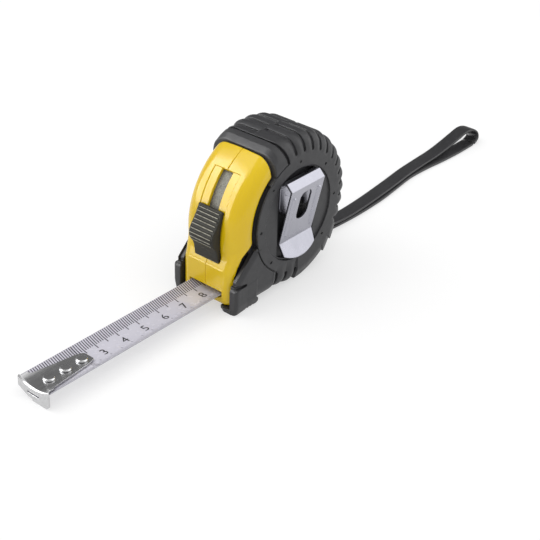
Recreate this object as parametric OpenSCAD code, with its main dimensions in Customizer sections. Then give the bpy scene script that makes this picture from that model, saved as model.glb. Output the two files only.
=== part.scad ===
// Pocket tape measure with a rubber-clad case, a sliding blade lock, a belt clip and a wrist strap.
// The blade leaves towards -Y, the belt clip is on +X and the case stands on Z = 0.

/* [Case] */
// width over the two flat ring faces
case_w = 31; // [28:0.5:40]
// radius of the rubber crown about the drum axle
crown_r = 31.2; // [30.6:0.1:35]
// rounding from the crown to the side
crown_round = 7; // [4:0.5:8]
// how far the flat base cuts into the crown circle
base_cut = 1.2; // [0.6:0.1:2]
// thickness of the rubber over the crown
rubber_t = 2.8; // [2.2:0.1:3.4]
// thickness of the rubber over the side
rubber_side_t = 3.2; // [2.6:0.1:3.6]
// wall of the plastic housing
wall = 1.7; // [1.4:0.1:2.2]
// rounding of the hidden housing core
core_round = 4.5; // [3:0.5:5]

/* [Side rings] */
// radius of the recess that holds the clip
recess_r = 18.8; // [18:0.1:20]
// rubber left under the recess
recess_floor = 0.8; // [0.5:0.1:1.2]
// depth of the plain recess on the other side
plain_recess = 0.9; // [0.5:0.1:1.5]
// outer radius of the flat ring
ring_r = 23.6; // [22:0.1:24.5]
// radius of the circle of ring dimples
dimple_circle_r = 21.3; // [20.5:0.1:22]
// radius of one ring dimple
dimple_r = 0.4; // [0.3:0.05:0.6]
// depth of one ring dimple
dimple_depth = 0.4; // [0.2:0.1:0.6]

/* [Treads] */
// width of a tread groove at the crown
groove_w = 1.5; // [0.8:0.1:1.8]
// depth of a tread groove
groove_depth = 1; // [0.5:0.1:1.2]
// angle from one groove to the next
groove_pitch = 11.1; // [10:0.1:14]
// angle of the front groove above the horizontal
groove_first = 106.5; // [104:0.5:110]
// grooves on one half, counted from the front
groove_count = 13; // [8:1:13]
// distance between the three upright grooves at the bottom
sole_groove_pitch = 5.6; // [4:0.1:6]
// depth of the upright grooves at the bottom
sole_groove_depth = 1.4; // [0.8:0.1:1.4]
// length of the chamfer on the rubber's front lip
lip_l = 2.2; // [1:0.1:3]
// drop of the chamfer on the rubber's front lip
lip_drop = 0.8; // [0.3:0.1:1.2]
// rise of the two lower lugs, which climb to a step like saw teeth
lug_out = 1.1; // [0.4:0.1:1.4]
// length of one lower lug in degrees
lug_span = 10; // [9:0.1:12]

/* [Front] */
// how far the front arc lies outside the crown radius
front_bulge = 2.2; // [1.8:0.1:2.6]
// the front arc's centre behind the axle
front_back = 0.5; // [0:0.1:1]
// the front arc's centre below the axle
front_drop = 3; // [2:0.1:4]
// width of the bare plastic front
front_w = 27.6; // [26:0.2:29]
// rounding at the edges of the bare front
front_round = 6; // [4:0.5:7]
// distance from the axle forward to the rubber band's edge
band_front = 13.7; // [12:0.1:15]
// shadow gap between the bare front and the rubber
shadow_gap = 0.7; // [0.4:0.1:1]

/* [Nose] */
// how far the nose panel stands before the front arc
chin_out = 1.3; // [0.8:0.1:1.8]
// height of the ledge over the nose panel
ledge_h = 17.6; // [15:0.1:18]
// height at which the chin leaves the front arc
chin_top = 21.5; // [20:0.1:24]
// width of the nose
nose_w = 24.6; // [23:0.2:25]
// rounding of the nose's two upright edges
nose_round = 4; // [2:0.1:5]
// rounding of the nose's lower edge
nose_low_round = 1.6; // [0.6:0.1:2]
// rounding of the nose's lower corners seen from the front
nose_corner_round = 2.8; // [1:0.1:3.5]
// height of the nose's lower edge
nose_h0 = 2; // [1.6:0.1:2.6]
// gap between the blade's edges and the mouth's sides
mouth_gap = 0.3; // [0.2:0.05:0.6]
// gap over the blade's edges in the mouth
mouth_above = 1; // [0.7:0.1:1.3]
// gap under the blade in the mouth
mouth_below = 0.8; // [0.5:0.1:1]

/* [Feet] */
// how far a foot stands before the nose panel
foot_out = 0.8; // [0.4:0.1:1.4]
// length of a foot along the ground
foot_l = 14; // [12:0.1:16]
// height of a foot at its front
foot_h = 11; // [9:0.1:12]
// rounding of the foot's upright outer edge at the front
foot_round = 1.2; // [0.6:0.1:2]
// how far a foot's sole reaches in under the nose
sole_in = 4.7; // [2:0.1:5]
// height of the arm's tip over the foot
arm_tip = 2.8; // [2:0.1:3.5]
// depth of the wedge notch between arm and foot
notch_depth = 1.6; // [0.8:0.1:2]

/* [Blade] */
// width of the flat steel strip before it is cupped
blade_w = 16; // [13:0.5:19]
// radius of the cup across the blade
blade_cup_r = 15.5; // [12:0.1:30]
// thickness of the blade with its coating
blade_t = 0.3; // [0.2:0.05:0.5]
// height of the cup's lowest line above the ground
blade_h = 4.6; // [4:0.1:5.5]
// length of blade drawn out of the case
blade_out = 83.9; // [60:0.1:120]
// how far the drawn blade runs straight inside the nose
blade_in = 22; // [18:0.5:24]
// stop gap left between hook and nose when it is drawn in
stop_gap = 2; // [1:0.1:4]

/* [Hook] */
// thickness of the hook sheet
hook_t = 0.8; // [0.6:0.1:1.2]
// width of the hook face
hook_w = 15; // [12:0.5:18]
// gap between the hook's lower edge and the ground
hook_clear = 0.4; // [0.2:0.1:1]
// length of the hook's plate on the blade
hook_plate_l = 25.6; // [23:0.1:28]
// width of the plate at its tip
hook_tip_w = 7; // [6:0.5:9]
// free play of the hook along the blade
hook_play = 0.8; // [0.5:0.1:1.2]
// distance between rivets
rivet_pitch = 7.4; // [6.5:0.1:8]
// distance from the hook face to the first rivet
rivet_first = 7.2; // [6:0.1:8]
// radius of a rivet's shank
rivet_r = 0.9; // [0.7:0.05:1.2]
// radius of a rivet's head
rivet_head_r = 2.1; // [1.8:0.05:2.4]
// height of a rivet's head
rivet_head_h = 0.8; // [0.5:0.1:1]

/* [Lock] */
// width of the lock button
button_w = 12; // [10:0.2:14]
// running gap between the button and the front
button_gap = 0.2; // [0.1:0.05:0.4]
// width of the slot that the stem runs in
slot_w = 5.1; // [4:0.1:6]
// depth of the shallow track under the button
track_depth = 0.4; // [0.2:0.05:0.6]
// travel of the lock in degrees
lock_travel = 13; // [8:1:13]
// thickness of the lock's steel band
band_t = 0.5; // [0.4:0.05:0.8]
// gap between the lock's band and the front wall
band_gap = 0.3; // [0.2:0.05:0.5]

/* [Drum] */
// outer radius of the wound blade
coil_r = 21.3; // [18:0.1:22]
// radius of the drum's rim, under the wound blade
drum_r = 15; // [12:0.1:16]
// wall of the drum's rim
drum_wall = 1.1; // [0.8:0.1:1.5]
// thickness of a drum flange
flange_t = 0.7; // [0.5:0.1:1]
// radius of the axle post
post_r = 3; // [2.5:0.1:4]
// running clearance of the drum on its post
post_gap = 0.05; // [0.03:0.01:0.1]
// thickness of the power spring
spring_t = 0.5; // [0.3:0.05:0.6]
// half turns of the power spring
spring_halves = 10; // [6:1:10]

/* [Belt clip] */
// width of the clip
clip_w = 18.8; // [16:0.1:22]
// thickness of the clip's steel
clip_t = 0.9; // [0.7:0.1:1.2]
// height of the clip's fold above the axle
clip_top = 16.1; // [14:0.1:17.5]
// how far the fold stands out from the recess floor
clip_depth = 6.6; // [4.4:0.1:7.5]
// gap between the bend and the recess floor
clip_pinch = 0.5; // [0.3:0.1:1.6]
// height of the bend below the axle
clip_bend = 10.2; // [8:0.1:11]
// flare of the lip in degrees
clip_flare = 26; // [10:1:40]
// radius of the lip's lower edge about the axle
clip_edge_r = 17.4; // [16:0.1:18]
// length of the clip's inner tab
clip_tab = 14.8; // [12:0.1:16]
// width of the U slot in the clip's tab
clip_slot_w = 10; // [6:0.1:12]
// width of the hole in the clip's leg
clip_hole_w = 6.4; // [4:0.1:8]
// length of the hole in the clip's leg
clip_hole_l = 12.4; // [8:0.1:14]
// radius of the clip screw's head
clip_screw_r = 2.6; // [2:0.1:3]

/* [Fasteners] */
// radius of a case screw's thread
screw_r = 1; // [0.8:0.1:1.3]
// radius of a case screw's head
screw_head_r = 1.9; // [1.6:0.1:2.2]
// radius of the bosses that the case screws hold
boss_r = 2.3; // [2.1:0.1:2.6]

/* [Strap] */
// width of the strap
strap_w = 6.4; // [5:0.1:8]
// thickness of one layer of the strap
strap_t = 1; // [0.8:0.1:1.4]
// length of the doubled strap behind the case
strap_l = 126; // [100:1:180]
// height of the open eye at the strap's end
eye_h = 3.4; // [2.5:0.1:5]
// length over which the eye opens
eye_l = 26; // [18:1:40]
// how far the strap's centre lies left of the case's middle
strap_x = 2.8; // [2:0.1:3.5]
// radius of the pin that holds the strap
strap_pin_r = 1.1; // [0.9:0.1:1.4]

/* [Hidden] */
$fn = 96;

big = 100;
eps = 0.02;
half_w = case_w / 2;
axle_h = crown_r - base_cut;
core_r = crown_r - rubber_t;
core_half = half_w - rubber_side_t;
cavity_r = core_r - wall;
cavity_half = core_half - wall;
floor_x = core_half + recess_floor;

// the front arc, which the lock follows
front_r = crown_r + front_bulge;
front_y = front_back;
front_z = axle_h - front_drop;
front_in_r = front_r - wall;

// the nose and the mouth
panel_y = front_y - front_r - chin_out;
nose_half = nose_w / 2;
cup_half_angle = blade_w / blade_cup_r / 2 * 180 / PI;
blade_half = blade_cup_r * sin(cup_half_angle);
blade_edge_h = blade_h + blade_cup_r * (1 - cos(cup_half_angle));
mouth_half = blade_half + mouth_gap;
mouth_z0 = blade_h - blade_t - mouth_below;
mouth_z1 = blade_edge_h + mouth_above;

// the drawn blade
hook_y = panel_y - blade_out;
plate_end_y = hook_y + hook_plate_l;
tip_end_y = hook_y + rivet_first + 2 * rivet_pitch + 1.9;
blade_y1 = panel_y + blade_in;

// the foot
foot_y0 = panel_y - foot_out;
foot_y1 = foot_y0 + foot_l;

// the lock
track_r = front_r - track_depth;
button_r0 = track_r + button_gap;
band_r1 = front_in_r - band_gap;
band_r0 = band_r1 - band_t;
slot_a0 = 134;
button_a0 = 157;
button_a1 = 193;
slot_a1 = 190;
track_a0 = slot_a0;
band_a0 = slot_a0 - 2;
band_a1 = 205;
pad_a1 = 215;

// the drum
coil_half = blade_w / 2;
flange_half = coil_half + 0.3 + flange_t;
flange_r = coil_r + 0.9;

// rubber skirt under the shadow gap, and the play between pieces that are bonded or wound
skirt_t = 0.6;
lug_a0 = -31;
fit_gap = 0.03;

// the wrist strap, which leaves at the lower rear
pin_at = polar(0, axle_h, core_r - 1.6, -50);
strap_gap = 0.1;
strap_side_gap = 0.3;
strap_yaw = 0.9;
strap_drop = 28;
strap_end_y = crown_r + strap_l;
strap_h = eye_h + 2 * strap_t;
strap_x0 = -strap_x - strap_w / 2;
loop_r = strap_pin_r + strap_gap + strap_t;
pin_boss_r = loop_r + 1;
pin_grip = 1.1;

// the case screws and the clip screw
seat_x = core_half - 1.1;
screw_head_h = 1.4;
screw_end_x = cavity_half - 1.6;
clip_screw_z = axle_h + clip_top - 6.2;
clip_screw_h = 1.1;

// ---- shapes used by several pieces ----

// a profile drawn in Y and Z, given a width along X from x0
module along_x(w, x0 = 0) {
  translate([x0, 0, 0]) rotate([90, 0, 90]) linear_extrude(w) children();
}

// a profile drawn in X and Z, given a length along Y from y0 towards +Y
module along_y(l, y0) {
  translate([0, y0 + l, 0]) rotate([90, 0, 0]) linear_extrude(l) children();
}

// a profile drawn in radius and X, turned about an axis along X through y, z
module turned(y, z) {
  translate([0, y, z]) rotate([0, 90, 0]) rotate_extrude() children();
}

// the same over the angles a0 to a1, measured from +Y towards +Z
module turned_part(y, z, a0, a1) {
  translate([0, y, z]) rotate([0, 90, 0]) rotate_extrude(angle = a1 - a0, start = a0 + 90) children();
}

// one half of a rounded drum section: radius r, half width w, edge rounding e
module drum_section(r, w, e) {
  square([r - e, w]);
  square([r, w - e]);
  translate([r - e, w - e]) circle(e);
}

// keeps the half at x > 0
module right_half() {
  intersection() {
    children();
    translate([0, -big, -big]) cube([big, 2 * big, 2 * big]);
  }
}

// keeps what lies above the ground
module above_ground() {
  intersection() {
    children();
    translate([-big, -2 * big, 0]) cube([2 * big, 4 * big, big]);
  }
}

function polar(y, z, r, a) = [y + r * cos(a), z + r * sin(a)];
function screw_places() = [
  polar(0, axle_h, core_r - boss_r, 58),
  polar(0, axle_h, core_r - boss_r, -14),
  polar(0, axle_h, core_r - boss_r, 100),
  polar(0, axle_h, core_r - boss_r, -137)
];

// ---- outlines in Y and Z ----

// everything behind the edge of the bare front
module clad_outline(grow = 0) {
  translate([-band_front - grow, -1]) square([big, big]);
  translate([0, axle_h]) circle(ring_r + grow);
  arm_outline(grow);
}

// the lower arm from the ring to the foot
module arm_outline(grow = 0) {
  polygon([
    [-ring_r + 1.6 - grow, axle_h - 1],
    [-ring_r + 0.9 - grow, axle_h - 5 + grow],
    [foot_y0 + 0.8 - grow, foot_h + arm_tip + grow],
    [foot_y0 + 0.8 - grow, 1],
    [-band_front, 1],
    [-band_front, axle_h - 1]
  ]);
}

// the foot seen from the side
module foot_outline() {
  heel = foot_y1;
  difference() {
    polygon([
      [foot_y0, 0], [heel - 0.8, 0], [heel - 0.1, 0.8], [heel, 1.6],
      [heel - 0.6, 2.8], [heel - 1.8, 3.6], [heel - 1.8, foot_h + 1],
      [foot_y0 + 7, foot_h - 0.2], [foot_y0 + 1.5, foot_h], [foot_y0, foot_h - 0.8]
    ]);
    for (i = [0:2]) {
      translate([heel - 3.2 - 1.7 * i, 0]) circle(0.4);
    }
  }
}

// ---- the housing ----

module core_solid(grow = 0) {
  turned(0, axle_h) drum_section(core_r + grow, core_half + grow, core_round);
}

// the bare front: it ends at the rubber band, and low on the side at a sloping edge
module front_solid() {
  intersection() {
    turned(front_y, front_z) drum_section(front_r, front_w / 2, front_round);
    union() {
      along_x(big) difference() {
        polygon([
          [0, axle_h - 5.5], [-ring_r + 0.4, axle_h - 5.5], [panel_y, ledge_h + 0.5],
          [-big, ledge_h + 0.5], [-big, big], [0, big]
        ]);
        clad_outline(shadow_gap);
      }
      translate([0, panel_y - 2, chin_top - eps]) cube([nose_half, -panel_y - band_front + 2, 4]);
    }
  }
}

// the shallow track that the lock button rides in
module track_cut() {
  turned_part(front_y, front_z, track_a0, button_a1 + 1)
    translate([track_r, -eps]) square([6, button_w / 2 + button_gap]);
}

// the nose: a round-edged box under a chin that swells out of the front arc
module nose_solid() {
  intersection() {
    along_x(nose_half) nose_outline();
    translate([0, 0, nose_h0]) linear_extrude(ledge_h) polygon(nose_plan(0));
    along_y(-panel_y, panel_y) nose_face();
  }
  hull() {
    translate([0, 0, chin_top - 0.1]) linear_extrude(0.1) polygon(front_plan(chin_top));
    translate([0, 0, ledge_h + 0.3]) linear_extrude(0.1) polygon(nose_plan(0.45));
  }
}

// the nose seen from the side
module nose_outline() {
  polygon(concat(
    [[-band_front, nose_h0]],
    arc([panel_y + nose_low_round, nose_h0 + nose_low_round], nose_low_round, 270, 180),
    [[panel_y, ledge_h - 0.7], [panel_y + 0.1, ledge_h - 0.1], [panel_y + 0.4, ledge_h + 0.4]],
    [[-band_front, ledge_h + 0.4]]
  ));
}

// the nose seen from the front
module nose_face() {
  e = nose_corner_round;
  polygon(concat([[0, nose_h0]], arc([nose_half - e, nose_h0 + e], e, 270, 360), [[nose_half, big], [0, big]]));
}

// the nose seen from above, drawn back by d
function nose_plan(d) = concat(
  [[0, panel_y + d]],
  arc([nose_half - nose_round, panel_y + d + nose_round], nose_round, 270, 360),
  [[nose_half, -band_front], [0, -band_front]]
);

// the bare front seen from above at height z, as wide as the nose
function front_plan(z) = concat(
  [for (i = [0:10]) [nose_half * i / 10, front_edge(nose_half * i / 10, z)]],
  [[nose_half, -band_front], [0, -band_front]]
);
function front_edge(x, z) =
  let (e = max(0, x - front_w / 2 + front_round))
  let (r = front_r - front_round + sqrt(front_round * front_round - e * e))
  front_y - sqrt(r * r - (z - front_z) * (z - front_z));

// points on an arc about c
function arc(c, r, a0, a1, n = 6) = [for (i = [0:n]) polar(c.x, c.y, r, a0 + (a1 - a0) * i / n)];

// the mouth: its lip follows the cupped blade, and behind the lip it is a plain duct
module mouth_cut() {
  lip = 6;
  along_y(5 + lip, panel_y - 5) intersection() {
    translate([-eps, 0]) square([mouth_half + eps, mouth_z1]);
    translate([0, blade_h + blade_cup_r]) circle(blade_cup_r + blade_t + mouth_below);
  }
  translate([-eps, panel_y + lip - eps, mouth_z0])
    cube([mouth_half + eps, blade_in + 5 - lip, mouth_z1 - mouth_z0]);
}

// room for the lock's band and pad behind the front wall
module lock_cut() {
  turned_part(front_y, front_z, band_a0 - lock_travel - 0.7, pad_a1 + 2)
    translate([band_r0 - 1.6, -eps]) square([front_in_r - band_r0 + 1.6, button_w / 2 - 0.8]);
  turned_part(front_y, front_z, slot_a0, slot_a1)
    translate([band_r0, -eps]) square([10, slot_w / 2]);
}

module housing_half() {
  difference() {
    union() {
      core_solid();
      front_solid();
      nose_solid();
    }
    difference() {
      along_x(cavity_half + eps, -eps) translate([0, axle_h]) circle(cavity_r);
      for (p = screw_places()) {
        along_x(big) translate(p) circle(boss_r);
      }
      along_x(big) translate(pin_at) circle(pin_boss_r);
    }
    mouth_cut();
    track_cut();
    lock_cut();
    for (p = screw_places()) {
      along_x(screw_end_x + eps, -eps) translate(p) circle(screw_r);
    }
  }
}

// the pocket and the pin's hole for the strap, cut through both halves
module strap_cut() {
  w = strap_w + 2 * strap_side_gap;
  along_x(w, strap_x0 - strap_side_gap) strap_pocket_outline();
  along_x(w + 2 * pin_grip, strap_x0 - strap_side_gap - pin_grip) translate(pin_at) circle(strap_pin_r);
}

module housing_left() {
  color("gold") difference() {
    mirror([1, 0, 0]) housing_half();
    for (p = screw_places()) {
      along_x(big, -big - seat_x) translate(p) circle(screw_head_r + 0.1);
      along_x(seat_x, -seat_x) translate(p) circle(screw_r);
    }
    strap_cut();
  }
}

module housing_right() {
  color("gold") difference() {
    housing_half();
    strap_cut();
    along_x(big) translate([0, clip_screw_z]) circle(screw_r);
  }
}

// ---- the rubber jackets ----

// a section of the lower front part of the jacket, seen from the front
module sole_section(inset = 0) {
  e = crown_round - inset;
  translate([0, inset]) {
    square([half_w - crown_round, axle_h]);
    translate([0, e]) square([half_w - inset, axle_h - e]);
    translate([half_w - crown_round, e]) circle(e);
  }
}

module jacket_blank() {
  intersection() {
    union() {
      turned(0, axle_h) drum_section(crown_r, half_w, crown_round);
      along_y(-foot_y0, foot_y0) sole_section();
    }
    along_x(big) clad_outline();
  }
  along_x(half_w - nose_half, nose_half) foot_outline();
  linear_extrude(nose_h0) sole_plan();
  intersection() {
    turned(0, axle_h) drum_section(core_r + skirt_t, core_half + skirt_t, core_round);
    along_x(big) clad_outline(shadow_gap - 0.05);
  }
}

// the foot's sole under the nose, seen from above
module sole_plan() {
  e = 2.6;
  polygon(concat(
    [[nose_half + 1, foot_y0]],
    arc([nose_half - sole_in + e, foot_y0 + e], e, 270, 180),
    [[nose_half - sole_in, foot_y0 + foot_l - 3], [nose_half + 1, foot_y0 + foot_l - 3]]
  ));
}

// the lower rear section: a bevel from the side to the crown, grown outwards by g
module rear_section(g = 0) {
  polygon([
    [0, 0], [crown_r + g, 0], [crown_r + g, half_w - 4], [crown_r - 0.4 + g, half_w - 2.8],
    [crown_r - 1.6 + g, half_w - 1.6], [ring_r + 1.8 + g, half_w], [0, half_w]
  ]);
}

// a low lug on the rear: it climbs from angle a0 and ends in a step one lug lower
module rear_lug(a0) {
  d = lug_out / sin(lug_span);
  c = polar(0, axle_h, d, a0 - 90);
  intersection() {
    turned(c.x, c.y) rear_section(sqrt(crown_r * crown_r + d * d) - crown_r);
    along_x(half_w) polygon([[0, axle_h], polar(0, axle_h, 2 * crown_r, a0),
      polar(0, axle_h, 2 * crown_r, a0 - lug_span)]);
  }
}

// the upright outer edge at the front of the foot and of the arm's tip, rounded
module foot_edge_cut() {
  translate([0, 0, -1]) linear_extrude(foot_h + arm_tip + 8) difference() {
    translate([half_w - foot_round, foot_y0 - 1]) square(foot_round + 1);
    translate([half_w - foot_round, foot_y0 + foot_round]) circle(foot_round);
  }
}

// one tread groove, which follows the crown and stops at the ring
module groove(a, x0) {
  da = groove_w / crown_r * 180 / PI;
  turned_part(0, axle_h, a - da / 2, a + da / 2) difference() {
    square([crown_r + 1, half_w + 1]);
    drum_section(crown_r - groove_depth, half_w - groove_depth, crown_round - groove_depth / 2);
    translate([0, -1]) square([ring_r, big]);
    translate([0, -1]) square([big, x0 + 1]);
  }
}

// one upright groove in the side of the sole
module sole_groove(y) {
  difference() {
    along_y(groove_w, y - groove_w / 2) difference() {
      translate([half_w - crown_round, -1]) square([big, axle_h]);
      sole_section(sole_groove_depth);
    }
    along_x(big) translate([0, axle_h]) circle(ring_r);
  }
}

module jacket_half(shift) {
  difference() {
    above_ground() {
      jacket_blank();
      turned_part(0, axle_h, -88, lug_a0) rear_section();
      rear_lug(lug_a0 - 2);
      rear_lug(lug_a0 - 2 - lug_span);
    }
    foot_edge_cut();
    mouth_cut();
    core_solid(fit_gap);
    nose_room();
    translate([-eps, foot_y0 - 5, -1])
      cube([nose_half - sole_in + eps, 5 + foot_l - 3, nose_h0 + 1]);
    along_x(notch_depth + 1, half_w - notch_depth) notch_outline();
    along_x(big, -1) lip_outline();
    turned_part(0, axle_h, groove_first, 242) translate([ring_r - 0.15, half_w - 0.3]) square([0.3, 1]);
    groove(groove_first, -eps);
    for (i = [1:groove_count - 1]) {
      groove(groove_first - (i - shift) * groove_pitch, 1);
    }
    for (i = [0:2]) {
      sole_groove((i - 2) * sole_groove_pitch);
    }
    for (i = [0:7]) {
      along_x(big, half_w - dimple_depth) translate(polar(0, axle_h, dimple_circle_r, 45 * i)) circle(dimple_r);
    }
  }
}

// the space of the nose inside the jacket
module nose_room() {
  translate([-eps, panel_y - 5, nose_h0])
    cube([nose_half + fit_gap + eps, 5 - panel_y - band_front + fit_gap, chin_top - nose_h0 + 4]);
}

// the wedge notch between the arm and the foot, open at the front
module notch_outline() {
  polygon([
    [foot_y0 - 1, foot_h - 0.1], [foot_y0 + 7, foot_h - 0.4],
    [foot_y0 + 6.7, foot_h + 1.2], [foot_y0 - 1, foot_h + 2.4]
  ]);
}

// the chamfer on the rubber's front lip
module lip_outline() {
  z0 = axle_h + sqrt(crown_r * crown_r - band_front * band_front) - lip_drop;
  z1 = axle_h + sqrt(crown_r * crown_r - (band_front - lip_l) * (band_front - lip_l)) + 0.1;
  polygon([[-band_front - 1, z0 - 0.4], [-band_front, z0], [lip_l - band_front, z1], [lip_l - band_front, z1 + 4],
    [-band_front - 1, z1 + 4]]);
}

module jacket_left() {
  color("dimgray") difference() {
    mirror([1, 0, 0]) jacket_half(0.5);
    along_x(big, -big - half_w + plain_recess) translate([0, axle_h]) circle(recess_r);
    for (p = screw_places()) {
      along_x(big, -big) translate(p) circle(screw_head_r + 0.3);
    }
    strap_cut();
  }
}

module jacket_right() {
  color("dimgray") difference() {
    jacket_half(0);
    along_x(big, floor_x) translate([0, axle_h]) circle(recess_r);
    along_x(big) translate([0, clip_screw_z]) circle(screw_r);
    strap_cut();
  }
}

// ---- fasteners and the axle ----

module axle_post() {
  color("silver") along_x(2 * cavity_half, -cavity_half) translate([0, axle_h]) circle(post_r);
}

module case_screw(i) {
  color("silver") translate([0, screw_places()[i].x, screw_places()[i].y]) rotate([0, 90, 0]) {
    translate([0, 0, -seat_x]) cylinder(h = seat_x + screw_end_x, r = screw_r);
    translate([0, 0, -seat_x - screw_head_h]) difference() {
      cylinder(h = screw_head_h, r = screw_head_r);
      cube([2.4, 0.5, 1.2], center = true);
      cube([0.5, 2.4, 1.2], center = true);
    }
  }
}

module clip_screw() {
  color("silver") translate([0, 0, clip_screw_z]) rotate([0, 90, 0]) {
    translate([0, 0, cavity_half - 0.4]) cylinder(h = recess_floor + wall + clip_t + 0.4, r = screw_r);
    translate([0, 0, floor_x + clip_t]) difference() {
      cylinder(h = clip_screw_h, r = clip_screw_r);
      translate([0, 0, clip_screw_h]) cube([3.2, 0.6, 1.2], center = true);
      translate([0, 0, clip_screw_h]) cube([0.6, 3.2, 1.2], center = true);
    }
  }
}

// ---- the belt clip ----

// the clip's sheet seen along Y: tab, fold, sloping leg and flared lip
module clip_profile() {
  x0 = floor_x;
  x1 = floor_x + clip_depth;
  r = clip_depth / 2;
  z1 = axle_h + clip_top - r;
  zb = axle_h - clip_bend;
  xb = floor_x + clip_pinch;
  ze = axle_h - clip_edge_r - 1;
  xe = xb + (zb - ze) * tan(clip_flare);
  translate([x0, z1 - clip_tab + r]) square([clip_t, clip_tab - r + eps]);
  translate([x0 + r, z1]) difference() {
    circle(r);
    circle(r - clip_t);
    translate([-big / 2, -big]) square([big, big]);
  }
  polygon([[x1 - clip_t, z1 + eps], [x1, z1 + eps], [xb + clip_t, zb], [xb, zb]]);
  polygon([[xb, zb], [xb + clip_t, zb], [xe + clip_t, ze], [xe, ze]]);
}

// the clip's outline seen from the side
module clip_outline() {
  intersection() {
    translate([-clip_w / 2, axle_h - clip_edge_r - 2]) square([clip_w, big]);
    union() {
      translate([0, axle_h]) circle(clip_edge_r);
      intersection() {
        translate([-big / 2, axle_h]) square([big, big]);
        translate([0, axle_h]) circle(recess_r - 0.3);
      }
    }
  }
}

// the long hole in the leg, with a round lower end and round upper corners
module leg_hole() {
  r = clip_hole_w / 2;
  e = 2.2;
  z1 = axle_h + clip_top - 5.4;
  polygon(concat(
    arc([0, z1 - clip_hole_l + r], r, 180, 360, 16),
    arc([r - e, z1 - e], e, 0, 90),
    arc([e - r, z1 - e], e, 90, 180)
  ));
}

// the U slot in the tab, open below
module tab_slot() {
  r = clip_slot_w / 2;
  z1 = clip_screw_z - clip_screw_r - 0.8;
  polygon(concat([[r, axle_h - 2]], arc([0, z1 - r], r, 0, 180, 16), [[-r, axle_h - 2]]));
}

// one embossed rib on the leg
module clip_rib(y, z0, l) {
  lean = atan2(clip_depth - clip_t - clip_pinch, clip_top - clip_depth / 2 + clip_bend);
  run = clip_top - clip_depth / 2 + clip_bend;
  slope = (clip_depth - clip_t - clip_pinch) / run;
  x = floor_x + clip_pinch + clip_t + (z0 + clip_bend) * slope;
  translate([x - 0.25, y, axle_h + z0]) rotate([0, lean, 0]) cylinder(h = l, r = 0.55);
}

module belt_clip() {
  color("gainsboro") {
    difference() {
      intersection() {
        along_y(clip_w, -clip_w / 2) clip_profile();
        along_x(big) clip_outline();
      }
      along_x(big, floor_x + clip_t + 1) leg_hole();
      along_x(clip_t + 1, floor_x - 0.5) translate([0, clip_screw_z]) circle(screw_r);
      along_x(clip_t + 0.4, floor_x - 0.2) tab_slot();
      for (s = [-1, 1]) {
        tab_corner(s);
      }
    }
    clip_rib(-7, -7, 17);
    clip_rib(7, -7, 17);
  }
}

// rounds a lower corner of the clip's tab
module tab_corner(s) {
  e = 4;
  z0 = axle_h + clip_top - clip_tab;
  along_x(clip_t + 0.4, floor_x - 0.2) difference() {
    translate([s > 0 ? clip_w / 2 - e : -clip_w / 2 - 1, z0 - 1]) square([e + 1, e + 1]);
    translate([s * (clip_w / 2 - e), z0 + e]) circle(e);
  }
}

// ---- the wrist strap ----

function along_drop(s, o) = [
  pin_at.x + s * cos(strap_drop) + o * sin(strap_drop),
  pin_at.y - s * sin(strap_drop) + o * cos(strap_drop)
];

module strap_pocket_outline() {
  translate(pin_at) circle(loop_r + 0.5);
  polygon([
    along_drop(0, loop_r + 0.5), along_drop(24, loop_r), along_drop(24, -loop_r - 2), along_drop(0, -loop_r - 0.5)
  ]);
}

// the doubled strap before its two loops are opened
module strap_blank() {
  r = strap_h / 2;
  y1 = strap_end_y - r;
  along_x(strap_w, strap_x0) translate(pin_at) circle(loop_r);
  along_x(strap_w, strap_x0) polygon([
    along_drop(-0.3, loop_r - 0.03), along_drop(14, strap_t), [crown_r + 4, 2 * strap_t],
    [strap_end_y - eye_l, 2 * strap_t], [y1 - 7, strap_h - 0.3], [y1 + 0.3, strap_h - 0.03],
    [y1 + 0.3, 0.03], [y1, 0],
    [crown_r + 3, 0], along_drop(14, -strap_t), along_drop(-0.3, 0.03 - loop_r)
  ]);
  along_x(strap_w, strap_x0) translate([y1, r]) circle(r);
}

// the space round the pin and the open eye at the far end
module strap_spaces() {
  y1 = strap_end_y - strap_h / 2;
  inner = strap_pin_r + strap_gap;
  w = strap_w + 2;
  along_x(w, strap_x0 - 1) translate(pin_at) circle(inner);
  along_x(w, strap_x0 - 1)
    polygon([along_drop(-0.3, inner - 0.05), along_drop(5, 0), along_drop(-0.3, 0.05 - inner)]);
  along_x(w, strap_x0 - 1) translate([y1, strap_h / 2]) circle(eye_h / 2);
  along_x(w, strap_x0 - 1) polygon([
    [strap_end_y - eye_l + 4, strap_t], [y1 + 0.3, strap_t + 0.05],
    [y1 + 0.3, strap_h - strap_t - 0.05], [y1 - 7, strap_h - strap_t - 0.3]
  ]);
}

module strap() {
  color("dimgray")
    translate([-strap_x, pin_at.x, 0]) rotate([0, 0, strap_yaw]) translate([strap_x, -pin_at.x, 0])
      difference() {
        strap_blank();
        strap_spaces();
      }
}

module strap_pin() {
  l = strap_w + 2 * strap_side_gap + 2 * pin_grip;
  color("silver") along_x(l, strap_x0 - strap_side_gap - pin_grip) translate(pin_at) circle(strap_pin_r);
}

// ---- the blade ----

// a cupped strip seen along its length, with its top face `up` above the blade's top
module cup_section(half, up, t) {
  intersection() {
    translate([0, blade_h + blade_cup_r]) difference() {
      circle(blade_cup_r - up + t);
      circle(blade_cup_r - up);
    }
    translate([-half, 0]) square([2 * half, blade_h + blade_cup_r]);
  }
}

module blade() {
  color("lavender") along_y(blade_y1 - tip_end_y, tip_end_y) cup_section(blade_half, 0, blade_t);
}

module rivet_holes(r, slot = 0) {
  for (i = [0:2]) {
    for (s = [0, slot]) {
      translate([0, hook_y + rivet_first + i * rivet_pitch + s, 0]) cylinder(h = blade_h + 6, r = r);
    }
  }
}

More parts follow.
